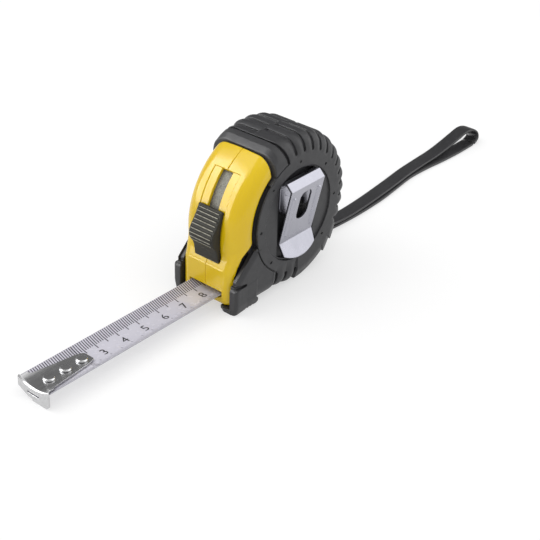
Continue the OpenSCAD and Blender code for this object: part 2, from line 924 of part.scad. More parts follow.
module blade_tip() {
  y0 = hook_y + hook_t + 0.1;
  color("lavender") difference() {
    along_y(tip_end_y - 0.05 - y0, y0) cup_section(blade_half, 0, blade_t);
    rivet_holes(rivet_r);
  }
}

// the flat lead from the nose up to the wound blade
module blade_lead() {
  y0 = blade_y1 + 0.1;
  z1 = axle_h - coil_r - 0.35;
  color("lavender") along_x(2 * blade_half, -blade_half) polygon([
    [y0, blade_h + 0.4], [-4, z1], [0, z1], [0, z1 - blade_t], [-3.9, z1 - blade_t], [y0, blade_h + 0.4 - blade_t]
  ]);
}

module blade_coil() {
  color("khaki") along_x(2 * coil_half, -coil_half) translate([0, axle_h]) difference() {
    circle(coil_r);
    circle(drum_r + fit_gap);
  }
}

// ---- the drum and its spring ----

hub_bore = post_r + post_gap;
hub_r = post_r + post_gap + 1.5;
hub_half = cavity_half - 0.3;
rim_in = drum_r - drum_wall;
web_t = 1;

module drum() {
  color("ivory") translate([0, 0, axle_h]) rotate([0, 90, 0]) difference() {
    union() {
      translate([0, 0, -hub_half]) cylinder(h = 2 * hub_half, r = hub_r);
      translate([0, 0, -flange_half]) difference() {
        cylinder(h = 2 * flange_half, r = drum_r);
        translate([0, 0, web_t + flange_t]) cylinder(h = 2 * flange_half, r = rim_in);
      }
      for (x = [-flange_half, flange_half - flange_t]) {
        translate([0, 0, x]) difference() {
          cylinder(h = flange_t, r = flange_r);
          translate([0, 0, -1]) cylinder(h = flange_t + 2, r = rim_in);
        }
      }
    }
    translate([0, 0, -hub_half - 1]) cylinder(h = 2 * hub_half + 2, r = hub_bore);
  }
}

// half turns whose centres alternate, so that they join into one spiral
module power_spring() {
  r0 = hub_r + fit_gap;
  pitch = 2 * (rim_in - spring_t - r0 - 2 * fit_gap) / spring_halves;
  color("slategray") along_x(2 * coil_half - web_t - 2, -coil_half + web_t + 1) translate([0, axle_h])
    for (i = [0:spring_halves - 1]) {
      odd = i % 2;
      translate([odd * pitch / 2, 0]) difference() {
        circle(r0 + i * pitch / 2 + spring_t);
        circle(r0 + i * pitch / 2);
        translate([-big, odd ? 0 : -big]) square([2 * big, big]);
      }
    }
}

// ---- the lock ----

// height of the button's face over the front arc's centre, by angle
button_face = [
  [157, 1.0], [161, 1.1], [165, 1.5], [169, 2.4], [173, 3.7], [176, 4.5],
  [179, 4.3], [181.5, 3.4], [184, 2.3], [187, 1.8], [193, 1.9]
];

// a point of the button's face at angle a, raised by h
function face_point(a, h = 0) = polar(front_y, front_z, front_r + lookup(a, button_face) + h, a);

module button_outline() {
  ridges = [for (a = [158.6:2.45:184]) for (p = [[-0.7, 0], [-0.45, 0.32], [0.45, 0.32], [0.7, 0]])
    face_point(a + p[0], p[1])];
  tail = [for (a = [185.5, 187.5, 190, 193]) face_point(a)];
  floor = [for (a = [button_a1, (button_a0 + button_a1) / 2, button_a0])
    polar(front_y, front_z, button_r0 - 3, a)];
  polygon(concat([face_point(button_a0)], ridges, tail, floor));
}

module lock_button() {
  stem = slot_w - 0.7;
  color("dimgray") {
    difference() {
      along_x(button_w, -button_w / 2) button_outline();
      along_x(button_w + 2, -button_w / 2 - 1) translate([front_y, front_z]) circle(button_r0);
    }
    turned_part(front_y, front_z, 163, 188) translate([band_r1, -stem / 2]) square([button_r0 - band_r1 + 0.8, stem]);
  }
}

module lock_band() {
  color("silver") turned_part(front_y, front_z, band_a0, band_a1)
    translate([band_r0, -4.4]) square([band_t, 8.8]);
}

module brake_pad() {
  color("black") turned_part(front_y, front_z, band_a1, pad_a1)
    translate([band_r0 - 1, -4.6]) square([band_t + 1, 9.2]);
}

// ---- the hook ----

plate_gap = 0.15;
plate_top = blade_h + plate_gap + hook_t;
plate_w = hook_w - 1;

module hook_plan() {
  difference() {
    polygon([
      [-plate_w / 2, hook_y], [plate_w / 2, hook_y], [plate_w / 2, hook_y + 4],
      [hook_tip_w / 2, plate_end_y - 2], [hook_tip_w / 2 - 1.6, plate_end_y],
      [-hook_tip_w / 2 + 1.6, plate_end_y], [-hook_tip_w / 2, plate_end_y - 2], [-plate_w / 2, hook_y + 4]
    ]);
    for (i = [0:2]) {
      y = hook_y + rivet_first + i * rivet_pitch;
      translate([0, y]) circle(rivet_r + 0.15);
      translate([0, y + hook_play]) circle(rivet_r + 0.15);
      translate([-rivet_r - 0.15, y]) square([2 * rivet_r + 0.3, hook_play]);
    }
  }
}

module hook_face() {
  difference() {
    translate([-hook_w / 2, hook_clear]) square([hook_w, blade_h + 2.9 - hook_clear]);
    translate([0, blade_h + blade_cup_r]) circle(blade_cup_r - plate_gap - hook_t);
    polygon([
      [-hook_w / 2 - 1, hook_clear - 1], [-1.6, hook_clear - 1], [-1.6, hook_clear + 0.2],
      [-3.4, hook_clear + 1], [-hook_w / 2, 4], [-hook_w / 2 - 1, 4]
    ]);
    translate([-2.6, 3.1]) circle(0.5);
    translate([2.6, 3.1]) circle(0.5);
    translate([-2.6, 2.6]) square([5.2, 1]);
  }
}

module hook() {
  color("gainsboro") {
    intersection() {
      along_y(hook_plate_l, hook_y) cup_section(plate_w / 2, plate_gap + hook_t, hook_t);
      linear_extrude(big) hook_plan();
    }
    along_y(hook_t, hook_y) hook_face();
  }
}

module rivet(i) {
  dome = (rivet_head_r * rivet_head_r + rivet_head_h * rivet_head_h) / (2 * rivet_head_h);
  z1 = plate_top + 0.3;
  z0 = blade_h - blade_t;
  color("silver") translate([0, hook_y + rivet_first + i * rivet_pitch, 0]) {
    translate([0, 0, z0]) cylinder(h = z1 - z0 + 0.1, r = rivet_r);
    translate([0, 0, z0 - 0.4]) cylinder(h = 0.4, r = 1.6);
    translate([0, 0, z1]) rotate_extrude() intersection() {
      translate([0, rivet_head_h - dome]) circle(dome);
      square([rivet_head_r + 1, rivet_head_h + 1]);
    }
  }
}

housing_left();
housing_right();
jacket_left();
jacket_right();
axle_post();
belt_clip();
clip_screw();
case_screw(0);  // case_screw_1
case_screw(1);  // case_screw_2
case_screw(2);  // case_screw_3
case_screw(3);  // case_screw_4
strap_pin();
strap();
blade();
blade_lead();
drum();
blade_coil();
power_spring();
lock_button();
lock_band();
brake_pad();
blade_tip();
rivet(0);  // rivet_1
rivet(1);  // rivet_2
rivet(2);  // rivet_3
hook();
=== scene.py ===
import functools
import math

import bmesh
import bpy
import numpy as np
from mathutils import Matrix, Vector


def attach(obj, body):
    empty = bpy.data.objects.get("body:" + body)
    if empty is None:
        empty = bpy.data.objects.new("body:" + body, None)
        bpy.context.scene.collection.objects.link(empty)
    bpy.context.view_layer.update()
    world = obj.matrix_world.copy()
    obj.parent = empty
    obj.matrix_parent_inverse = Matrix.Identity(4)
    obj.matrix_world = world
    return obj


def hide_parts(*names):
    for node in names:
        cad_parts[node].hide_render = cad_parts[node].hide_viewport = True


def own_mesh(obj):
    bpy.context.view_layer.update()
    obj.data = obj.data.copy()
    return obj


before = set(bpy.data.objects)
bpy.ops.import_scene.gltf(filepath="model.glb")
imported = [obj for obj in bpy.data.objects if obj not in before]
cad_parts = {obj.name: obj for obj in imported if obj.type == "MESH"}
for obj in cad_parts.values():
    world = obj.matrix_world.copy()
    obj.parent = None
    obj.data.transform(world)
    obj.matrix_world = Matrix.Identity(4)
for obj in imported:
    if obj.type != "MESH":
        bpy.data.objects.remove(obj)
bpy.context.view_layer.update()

MM = 0.001
DEGREES = math.degrees(1.0)

# ---- sizes in millimetres, as in the solid model ----

AXLE_Z = 30.0
CROWN_R = 31.2
HALF_W = 15.5
CROWN_E = 7.0
CORE_R = 28.4
CORE_HALF = 12.3
CORE_E = 4.5
CAVITY_R = 26.7
CAVITY_HALF = 10.6
RECESS_R = 18.8
FLOOR_X = 13.1
PLAIN_X = 14.6
RING_R = 23.6
FRONT_Y = 0.5
FRONT_Z = 27.0
FRONT_R = 33.4
FRONT_HALF = 13.8
FRONT_E = 6.0
FRONT_IN_R = 31.7
BAND_Y = -13.7
SHADOW_GAP = 0.7
NOSE_Y = -34.2
NOSE_HALF = 12.3
NOSE_Z0 = 2.0
NOSE_CORNER = 4.0
LEDGE_Z = 17.6
FOOT_Y0 = -35.0
FOOT_L = 14.0
FOOT_H = 11.0
BLADE_Z = 4.6
CUP_R = 15.5
BLADE_T = 0.3
BLADE_HALF = 7.65
MOUTH_HALF = 7.95
MOUTH_Z0 = 3.5
MOUTH_Z1 = 7.62
HOOK_Y = -118.1
HOOK_T = 0.8
TIP_END_Y = -94.2
BLADE_Y1 = -12.2
RIVET_Y = (-110.9, -103.5, -96.1)
HOOK_PLAY = (0.0, 0.8)
ZERO_Y = HOOK_Y + 1.7
PIN_Y = 17.23
PIN_Z = 9.47
STRAP_X0 = -6.0
STRAP_W = 6.4
SCREW_RING_R = 26.1
SCREWS = [(SCREW_RING_R * math.cos(math.radians(a)), AXLE_Z + SCREW_RING_R * math.sin(math.radians(a)))
          for a in (58, -14, 100, -137)]


# ---- fields: signed distances in millimetres, below 0 inside ----

def smin(a, b, k):
    """Union with a soft blend of width k."""
    h = np.clip(0.5 + 0.5 * (b - a) / k, 0, 1)
    return b + (a - b) * h - k * h * (1 - h)


def smax(a, b, k):
    """Intersection with a soft blend of width k."""
    return -smin(-a, -b, k)


def rmax(a, b, r):
    """Intersection whose edge is rounded to radius r."""
    return np.minimum(np.maximum(a, b), -r) + np.hypot(np.maximum(a + r, 0), np.maximum(b + r, 0))


def cut(a, b, r=0.25):
    """a without b, with a rounded edge."""
    return rmax(a, -b, r)


def common(*parts):
    """Intersection with sharp edges."""
    return functools.reduce(np.maximum, parts)


def corner(a, b):
    """Distance to a square corner whose sides lie at a = 0 and b = 0."""
    return np.hypot(np.maximum(a, 0), np.maximum(b, 0)) + np.minimum(np.maximum(a, b), 0)


def drum(x, r, rad, half, e):
    """A drum of radius rad and half width half, with its edges rounded to e."""
    return corner(np.abs(x) - (half - e), r - (rad - e)) - e


def box2(u, v, u0, u1, v0, v1, e=0.0):
    """A rectangle with corners rounded to e."""
    qu = np.abs(u - (u0 + u1) / 2) - ((u1 - u0) / 2 - e)
    qv = np.abs(v - (v0 + v1) / 2) - ((v1 - v0) / 2 - e)
    return corner(qu, qv) - e


def near_lines(u, v, lines):
    """Distance to the nearest of the lines, each given by its two ends."""
    best = None
    for (u0, v0), (u1, v1) in lines:
        du, dv = u1 - u0, v1 - v0
        t = np.clip(((u - u0) * du + (v - v0) * dv) / (du * du + dv * dv), 0, 1)
        d = (u - u0 - du * t) ** 2 + (v - v0 - dv * t) ** 2
        best = d if best is None else np.minimum(best, d)
    return np.sqrt(best)


def polygon(u, v, pts):
    """Signed distance to a polygon."""
    sides = list(zip(pts, pts[1:] + pts[:1]))
    inside = np.zeros(np.shape(u), bool)
    for (u0, v0), (u1, v1) in sides:
        if v1 != v0:
            inside ^= (v >= min(v0, v1)) & (v < max(v0, v1)) & (u < u0 + (v - v0) * (u1 - u0) / (v1 - v0))
    return np.where(inside, -1, 1) * near_lines(u, v, sides)


def mirrored(half):
    """A closed outline from its half at u > 0."""
    return half + [(-u, v) for u, v in reversed(half)]


def angle(y, z, y0, z0):
    """Angle about an axis along X in degrees, 0 towards +Y, 90 up, from -90 to 270."""
    a = np.degrees(np.arctan2(z - z0, y - y0))
    return np.where(a < -90, a + 360, a)


# ---- from a field to a mesh ----

# cells along a block's side, and blocks worked out at a time
BLOCK = 4
BATCH = 8000


def sample(f, axes, h):
    """f on the grid, worked out exactly only in the blocks that the surface may cross."""
    n = [len(a) for a in axes]
    mids = [a[::BLOCK] + (BLOCK - 1) / 2 * h for a in axes]
    rough = f(*(g.ravel() for g in np.meshgrid(*mids, indexing="ij"))).reshape([len(m) for m in mids])
    vol = rough.astype(np.float32)
    for i in range(3):
        vol = np.repeat(vol, BLOCK, axis=i)
    near = np.argwhere(np.abs(rough) < 1.3 * h * BLOCK)
    steps = np.stack(np.meshgrid(*[np.arange(BLOCK)] * 3, indexing="ij"), -1).reshape(1, -1, 3)
    for s in range(0, len(near), BATCH):
        cell = (near[s:s + BATCH, None] * BLOCK + steps).reshape(-1, 3)
        vol[tuple(cell.T)] = f(*(axes[i][0] + cell[:, i] * h for i in range(3)))
    return vol[:n[0], :n[1], :n[2]]


def nets(f, lo, hi, h):
    """Vertices and quads on the surface f = 0 inside the box, one vertex in each crossed cell."""
    axes = [np.arange(lo[i], hi[i] + h, h) for i in range(3)]
    vol = sample(f, axes, h)
    n = vol.shape
    inside = vol < 0
    cells = tuple(k - 1 for k in n)
    where = []
    points = []
    edges = []
    for ax in range(3):
        a = [slice(None)] * 3
        b = [slice(None)] * 3
        a[ax] = slice(0, -1)
        b[ax] = slice(1, None)
        hit = np.argwhere(inside[tuple(a)] != inside[tuple(b)])
        nxt = hit.copy()
        nxt[:, ax] += 1
        va = vol[tuple(hit.T)]
        vb = vol[tuple(nxt.T)]
        pt = hit.astype(float)
        pt[:, ax] += va / (va - vb)
        o1, o2 = (ax + 1) % 3, (ax + 2) % 3
        keep = (hit[:, o1] > 0) & (hit[:, o1] < n[o1] - 1) & (hit[:, o2] > 0) & (hit[:, o2] < n[o2] - 1)
        for d1 in (0, 1):
            for d2 in (0, 1):
                c = hit[keep]
                c[:, o1] -= d1
                c[:, o2] -= d2
                where.append(np.ravel_multi_index(tuple(c.T), cells))
                points.append(pt[keep])
        edges.append((ax, hit[keep], va[keep] < 0))
    used, place = np.unique(np.concatenate(where), return_inverse=True)
    points = np.concatenate(points)
    count = np.bincount(place)
    verts = np.stack([np.bincount(place, points[:, i]) / count for i in range(3)], 1) * h + np.array(lo)
    quads = []
    for ax, hit, out in edges:
        o1, o2 = (ax + 1) % 3, (ax + 2) % 3
        ring = []
        for d1, d2 in ((0, 0), (1, 0), (1, 1), (0, 1)):
            c = hit.copy()
            c[:, o1] -= d1
            c[:, o2] -= d2
            ring.append(np.searchsorted(used, np.ravel_multi_index(tuple(c.T), cells)))
        q = np.stack(ring, 1)
        q[~out] = q[~out][:, ::-1]
        quads.append(q)
    return verts, np.concatenate(quads)


def slope(f, v, e=0.02):
    """The field's gradient at the points v."""
    g = np.empty_like(v)
    for i in range(3):
        a = v.copy()
        b = v.copy()
        a[:, i] += e
        b[:, i] -= e
        g[:, i] = (f(*a.T) - f(*b.T)) / (2 * e)
    return g


def to_object(name, verts, faces, normals=None):
    """A smooth-shaded object from points in millimetres."""
    me = bpy.data.meshes.new(name)
    faces = np.asarray(faces)
    me.vertices.add(len(verts))
    me.vertices.foreach_set("co", (np.asarray(verts) * MM).astype(np.float32).ravel())
    k = faces.shape[1]
    me.loops.add(faces.size)
    me.loops.foreach_set("vertex_index", faces.astype(np.int32).ravel())
    me.polygons.add(len(faces))
    me.polygons.foreach_set("loop_start", np.arange(0, faces.size, k, dtype=np.int32))
    me.polygons.foreach_set("use_smooth", np.ones(len(faces), bool))
    me.update(calc_edges=True)
    me.validate()
    if normals is not None and len(me.vertices) == len(normals):
        me.normals_split_custom_set_from_vertices([tuple(x) for x in normals])
    obj = bpy.data.objects.new(name, me)
    bpy.context.scene.collection.objects.link(obj)
    return obj


SNAP_ROUNDS = 4
SNAP_STEP = 0.4
SNAP_REACH = 0.8
SHADE_NEAR = 0.06


def carve(name, f, lo, hi, h, shade=None):
    """The object bounded by the field f, in millimetres; shade gives the normals where the two agree."""
    verts, quads = nets(f, lo, hi, h)
    start = verts.copy()
    # each vertex moves along the gradient onto the surface, and stays near its cell
    for _ in range(SNAP_ROUNDS):
        g = slope(f, verts)
        gg = np.maximum((g * g).sum(1), 0.05)
        step = -g * (f(*verts.T) / gg)[:, None]
        size = np.linalg.norm(step, axis=1)
        step *= np.minimum(1, SNAP_STEP * h / np.maximum(size, 1e-9))[:, None]
        verts = verts + step
        drift = verts - start
        far = np.linalg.norm(drift, axis=1)
        verts = start + drift * np.minimum(1, SNAP_REACH * h / np.maximum(far, 1e-9))[:, None]
    g = slope(f, verts)
    if shade:
        same = np.abs(shade(*verts.T)) < SHADE_NEAR
        g[same] = slope(shade, verts[same])
    g /= np.maximum(np.linalg.norm(g, axis=1), 1e-9)[:, None]
    return to_object(name, verts, quads, g)


def tube_quads(rings, m):
    """The quads between neighbouring closed rings of m points."""
    return [(j * m + i, j * m + (i + 1) % m, (j + 1) * m + (i + 1) % m, (j + 1) * m + i)
            for j in range(rings - 1) for i in range(m)]


def lathe(name, pts, centre, steps=64):
    """A solid turned about an upright axis: pts are (radius, height) from the axis round to the axis."""
    a = np.arange(steps) * 2 * np.pi / steps
    verts = np.concatenate([np.stack([r * np.cos(a), r * np.sin(a), np.full(steps, z)], 1) for r, z in pts])
    return to_object(name, verts + np.array(centre), tube_quads(len(pts), steps))


# ---- materials ----

def rgb(r, g, b):
    """A colour from its screen values 0..255."""
    out = []
    for c in (r, g, b):
        c /= 255
        out.append(c / 12.92 if c <= 0.04045 else ((c + 0.055) / 1.055) ** 2.4)
    return (*out, 1.0)


class Tree:
    """Short calls for building a node tree."""

    def __init__(self, tree):
        self.tree = tree

    def add(self, kind, **values):
        node = self.tree.nodes.new("ShaderNode" + kind)
        for key, value in values.items():
            setattr(node, key, value)
        return node

    def link(self, a, b):
        self.tree.links.new(a, b)

    def give(self, socket, value):
        """A number or another node's output for an input."""
        if isinstance(value, (int, float, tuple)):
            socket.default_value = value
        else:
            self.link(value, socket)

    def calc(self, operation, *values):
        node = self.add("Math", operation=operation)
        for socket, value in zip(node.inputs, values):
            self.give(socket, value)
        return node.outputs[0]

    def axes(self, vector):
        """The X, Y and Z of a vector."""
        node = self.add("SeparateXYZ")
        self.link(vector, node.inputs[0])
        return node.outputs

    def spread(self, fac, lo, hi, out_lo=0.0, out_hi=1.0, **values):
        m = self.add("MapRange", **values)
        m.inputs["From Min"].default_value = lo
        m.inputs["From Max"].default_value = hi
        m.inputs["To Min"].default_value = out_lo
        m.inputs["To Max"].default_value = out_hi
        self.link(fac, m.inputs["Value"])
        return m.outputs["Result"]

    def mix(self, fac, a, b, kind="FLOAT"):
        node = self.add("Mix", data_type=kind)
        self.link(fac, node.inputs["Factor"])
        self.give(node.inputs["A"], a)
        self.give(node.inputs["B"], b)
        return node.outputs["Result"]


class Nodes(Tree):
    """A node material that starts from a Principled BSDF."""

    def __init__(self, name):
        self.mat = bpy.data.materials.new(name)
        self.mat.use_nodes = True
        super().__init__(self.mat.node_tree)
        self.bsdf = self.tree.nodes["Principled BSDF"]
        self.place = self.add("TexCoord").outputs["Object"]

    def noise(self, scale, detail=3.0, rough=0.55, stretch=(1, 1, 1)):
        m = self.add("Mapping")
        m.inputs["Scale"].default_value = stretch
        self.link(self.place, m.inputs["Vector"])
        n = self.add("TexNoise")
        n.inputs["Scale"].default_value = scale
        n.inputs["Detail"].default_value = detail
        n.inputs["Roughness"].default_value = rough
        self.link(m.outputs["Vector"], n.inputs["Vector"])
        return n.outputs["Fac"]

    def ramp(self, fac, stops):
        r = self.add("ValToRGB")
        e = r.color_ramp.elements
        e[0].position, e[0].color = stops[0]
        e[1].position, e[1].color = stops[-1]
        for pos, col in stops[1:-1]:
            e.new(pos).color = col
        self.link(fac, r.inputs["Fac"])
        return r.outputs["Color"]

    def bump(self, height, distance):
        b = self.add("Bump")
        b.inputs["Strength"].default_value = 1.0
        b.inputs["Distance"].default_value = distance
        self.link(height, b.inputs["Height"])
        self.link(b.outputs["Normal"], self.bsdf.inputs["Normal"])

    def set(self, **values):
        for key, value in values.items():
            self.give(self.bsdf.inputs[key.replace("_", " ")], value)


def moulded(name, light, dark, rough, grain, depth, **more):
    """A moulded plastic or rubber: slight colour drift, uneven gloss and a fine grain."""
    m = Nodes(name)
    m.set(Base_Color=m.ramp(m.noise(60, 4), [(0.3, dark), (0.7, light)]),
          Roughness=m.spread(m.noise(400, 3), 0.3, 0.7, rough - 0.05, rough + 0.05), **more)
    m.bump(m.noise(grain, 2), depth)
    return m.mat


def metal(name, light, dark, rough, stretch, depth=2e-6):
    """A metal with fine brushed lines along one direction."""
    m = Nodes(name)
    lines = m.noise(900, 4, 0.6, stretch)
    m.set(Base_Color=m.ramp(lines, [(0.3, dark), (0.7, light)]), Metallic=1.0,
          Roughness=m.spread(m.noise(150, 3), 0.3, 0.7, rough - 0.04, rough + 0.06))
    m.bump(lines, depth)
    return m.mat


RUBBER = moulded("rubber", rgb(51, 51, 53), rgb(45, 45, 47), 0.48, 2600, 1.2e-5, Specular_IOR_Level=0.5)
YELLOW = moulded("yellow_plastic", rgb(238, 202, 4), rgb(233, 194, 2), 0.2, 1500, 1.0e-6,
                 Coat_Weight=0.1, Coat_Roughness=0.12)
CLIP = metal("clip_steel", rgb(171, 171, 180), rgb(166, 166, 175), 0.28, (1, 1, 0.1), 4e-7)
CHROME = metal("polished_steel", rgb(208, 208, 209), rgb(192, 192, 193), 0.19, (1, 0.15, 1))
STEEL = metal("bare_steel", rgb(205, 206, 208), rgb(180, 182, 186), 0.3, (0.1, 1, 1))
STRAP = moulded("strap_plastic", rgb(50, 50, 52), rgb(43, 43, 45), 0.38, 2000, 1.0e-5)
INK = moulded("ink", rgb(28, 27, 30), rgb(22, 21, 24), 0.4, 1500, 1e-6)
TICK = moulded("tick_ink", rgb(78, 73, 86), rgb(68, 64, 78), 0.4, 1500, 1e-6)
FAINT = moulded("faint_ink", rgb(140, 138, 148), rgb(132, 130, 140), 0.6, 1500, 1e-6)
COIL = moulded("wound_blade", rgb(206, 204, 214), rgb(170, 168, 180), 0.35, 700, 4e-6)
DRUM = moulded("drum_plastic", rgb(225, 222, 210), rgb(215, 212, 200), 0.45, 1500, 4e-6)
SPRING = metal("spring_steel", rgb(120, 125, 135), rgb(95, 100, 110), 0.3, (1, 1, 0.1))
PAD = moulded("brake_rubber", rgb(30, 30, 30), rgb(24, 24, 24), 0.7, 2500, 2e-5)


def band_material():
    """The grey, speckled band that shows in the lock's slot."""
    m = Nodes("lock_band_steel")
    grains = m.noise(1700, 5, 0.85)
    m.set(Base_Color=m.ramp(grains, [(0.36, rgb(78, 78, 72)), (0.64, rgb(176, 176, 168))]),
          Roughness=m.spread(grains, 0.3, 0.7, 0.5, 0.7))
    m.bump(grains, 1e-5)
    return m.mat


def blade_material():
    """Pale lacquer, with painted shade that greys it towards the blade's +X edge."""
    m = Nodes("blade_lacquer")
    # painted shade: the colour greys from X = 4.5 mm out to the +X edge
    side = m.spread(m.axes(m.place)["X"], 4.5 * MM, (BLADE_HALF + 0.05) * MM)
    drift = m.spread(m.noise(60, 4), 0.3, 0.7, 0.0, 0.12)
    # the grey end of the ramp is the colour of the painted shade
    colours = [(0.0, rgb(214, 212, 223)), (1.0, rgb(176, 175, 184))]
    m.set(Base_Color=m.ramp(m.calc("ADD", side, drift), colours),
          Roughness=m.spread(m.noise(400, 3), 0.3, 0.7, 0.2, 0.3), Coat_Weight=0.3, Coat_Roughness=0.08)
    m.bump(m.noise(700, 2), 2e-6)
    return m.mat


# the button's cross ridges, by their angle about the front arc's centre in degrees
RIDGE_0 = 161.2
RIDGE_STEP = 2.45
RIDGES = 9
RIDGE_HALF = 5.0


def button_material():
    """Dark plastic with a painted highlight along the crests of its cross ridges."""
    m = Nodes("button_plastic")
    xyz = m.axes(m.place)
    dy = m.calc("SUBTRACT", FRONT_Y * MM, xyz["Y"])
    dz = m.calc("SUBTRACT", xyz["Z"], FRONT_Z * MM)
    a = m.calc("SUBTRACT", 180.0, m.calc("MULTIPLY", m.calc("ARCTAN2", dz, dy), DEGREES))
    k = m.calc("DIVIDE", m.calc("SUBTRACT", a, RIDGE_0), RIDGE_STEP)
    off = m.calc("ABSOLUTE", m.calc("SUBTRACT", k, m.calc("ROUND", k)))
    # painted highlight: the crests of the cross ridges are coloured light, as if lit from above; noise
    # mottles it, and a little random tone drift is added
    crest_highlight = m.spread(off, 0.12, 0.04)
    for fac, lo, hi in ((k, -0.45, -0.35), (k, RIDGES - 0.55, RIDGES - 0.65),
                        (m.calc("ABSOLUTE", xyz["X"]), (RIDGE_HALF + 0.1) * MM, (RIDGE_HALF - 0.1) * MM)):
        crest_highlight = m.calc("MULTIPLY", crest_highlight, m.spread(fac, lo, hi))
    crest_highlight = m.calc("MULTIPLY", crest_highlight, m.spread(m.noise(900, 3), 0.35, 0.6, 0.55, 1.0))
    crest_highlight = m.calc("ADD", crest_highlight, m.spread(m.noise(80, 3), 0.3, 0.7, 0.0, 0.05))
    # the light end of the ramp is the colour of the painted highlight on the crests
    colours = [(0.0, rgb(47, 46, 41)), (0.1, rgb(52, 51, 45)), (1.0, rgb(200, 196, 180))]
    m.set(Base_Color=m.ramp(crest_highlight, colours), Roughness=m.spread(m.noise(400, 3), 0.3, 0.7, 0.55, 0.65),
          Specular_IOR_Level=0.3)
    m.bump(m.noise(2200, 2), 5e-6)
    return m.mat


BAND = band_material()
LACQUER = blade_material()
BUTTON = button_material()


def dress(obj, mat, body, slot=None, *nodes):
    """Gives obj its material and its body, and hides the solids it stands for; slot is not used."""
    obj.data.materials.clear()
    obj.data.materials.append(mat)
    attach(obj, body)
    if nodes:
        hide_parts(*nodes)


# ---- the camera, as the photograph looks at the object ----

CAMERA_PLACE = (0.2883, -0.3476, 0.2759)
CAMERA_TURN = (39.41, 31.55, 2.03)
LENS = 90.507


def make_camera():
    """CAMERA_TURN is the view's azimuth, its angle down and its roll, in degrees."""
    az, el, roll = (math.radians(a) for a in CAMERA_TURN)
    right = Vector((math.cos(az), math.sin(az), 0))
    ahead = Vector((-math.sin(az) * math.cos(el), math.cos(az) * math.cos(el), -math.sin(el)))
    up = right.cross(ahead)
    cx = right * math.cos(roll) + up * math.sin(roll)
    cy = up * math.cos(roll) - right * math.sin(roll)
    cz = cx.cross(cy)
    data = bpy.data.cameras.new("camera")
    data.lens = LENS
    data.sensor_width = 36.0
    data.clip_start = 0.01
    data.clip_end = 20.0
    cam = bpy.data.objects.new("camera", data)
    bpy.context.scene.collection.objects.link(cam)
    turn = Matrix((cx, cy, cz)).transposed().to_4x4()
    cam.matrix_world = Matrix.Translation(CAMERA_PLACE) @ turn
    bpy.context.scene.camera = cam


make_camera()


# ---- the rubber jackets ----

# the tread's cross grooves, by their angle about the axle in degrees
FIRST_GROOVE = 106.5
PITCH = 11.1
GROOVES = 13
GROOVE_W = 1.55
GROOVE_D = 1.2
RIDGE_SAG = 0.85
# the grooves of the sole
SOLE_PITCH = 5.6
SOLE_SAG = 0.6
# the two sawtooth lugs low at the back: the angle of each step, in degrees
LUG_STEPS = (-43.0, -53.2)
LUG_ARC = 10
LUG_RISE = 1.5
# the pips round the ring
PIPS = 8
PIP_RING_R = 21.3
# the dark channel along the arm's edge
CHANNEL_W = 1.8
CHANNEL_X = 11.3
LINING_X = 11.1
CHANNEL_TOP = 22
CHANNEL_FALL = 0.42


def channel_w(z):
    """The dark channel before the arm's edge narrows downwards and ends behind that edge."""
    return CHANNEL_W - CHANNEL_FALL * np.clip(CHANNEL_TOP - z, 0, 9)


def arm_outline(y, z, grow=0.0):
    """The slanted arm and its foot, seen from the side."""
    return polygon(y, z, [
        (-RING_R + 1.6 - grow, AXLE_Z - 1), (-RING_R + 0.9 - grow, AXLE_Z - 5 + grow),
        (FOOT_Y0 + 0.8 - grow, FOOT_H + 2.8 + grow), (FOOT_Y0 + 0.8 - grow, 0.5),
        (BAND_Y, 0.5), (BAND_Y, AXLE_Z - 1)])


def clad(y, z, r, grow=0.0):
    """What the rubber covers, seen from the side."""
    d = np.minimum(BAND_Y - grow - y, r - RING_R - grow)
    return np.minimum(d, arm_outline(y, z, grow))


def strap_pocket(x, y, z):
    """The room round the strap and its pin, which opens down and back."""
    c, s = math.cos(math.radians(28)), math.sin(math.radians(28))
    u = (y - PIN_Y) * c - (z - PIN_Z) * s
    v = (y - PIN_Y) * s + (z - PIN_Z) * c
    slot = box2(u, v, 0, 24, -4.2, 2.2)
    d = np.minimum(slot, np.hypot(y - PIN_Y, z - PIN_Z) - 2.7)
    return np.maximum(d, np.abs(x - (STRAP_X0 + STRAP_W / 2)) - (STRAP_W / 2 + 0.3))


def to_groove(a, side):
    """Distance along the crown to the nearest cross groove; the far side's are shifted by half a pitch."""
    k = (FIRST_GROOVE - a) / PITCH + (0.5 if side < 0 else 0.0)
    near = np.abs(k - np.round(k)) * PITCH * CROWN_R * math.pi / 180
    run = (np.round(k) >= 1) & (np.round(k) <= GROOVES - 1 + (side < 0))
    return np.where(run, near, 9.0)


def crown_and_sole(x, y, z, r, near):
    """The outer form: the crown's soft ridges, which sag towards their grooves, and the straight sole."""
    sag = RIDGE_SAG * (1 - np.minimum(near / (PITCH * CROWN_R * math.pi / 360), 1)) ** 1.5
    sag = sag * np.clip((r - RING_R) / 3, 0, 1)
    to_rib = np.abs(y - SOLE_PITCH * np.clip(np.round(y / SOLE_PITCH), -2, 0))
    sole_sag = SOLE_SAG * (1 - np.minimum(to_rib / (SOLE_PITCH / 2), 1)) ** 1.5 * np.clip((12 - z) / 4, 0, 1)
    chamfer = np.clip((BAND_Y + 2.2 - y) / 2.2, 0, 1) * 0.8 * np.clip((r - 27.5) / 3, 0, 1)
    chamfer = chamfer * np.clip((z - 46) / 5, 0, 1)
    crown = drum(x, r, CROWN_R, HALF_W, CROWN_E) + (sag + sole_sag) + chamfer
    sole = corner(x - (HALF_W - CROWN_E), CROWN_E - z) - CROWN_E + sole_sag
    sole = rmax(np.maximum(sole, y), np.maximum(FOOT_Y0 + 0.8 - y, z - AXLE_Z), 0.3)
    return smin(crown, sole, 0.4)


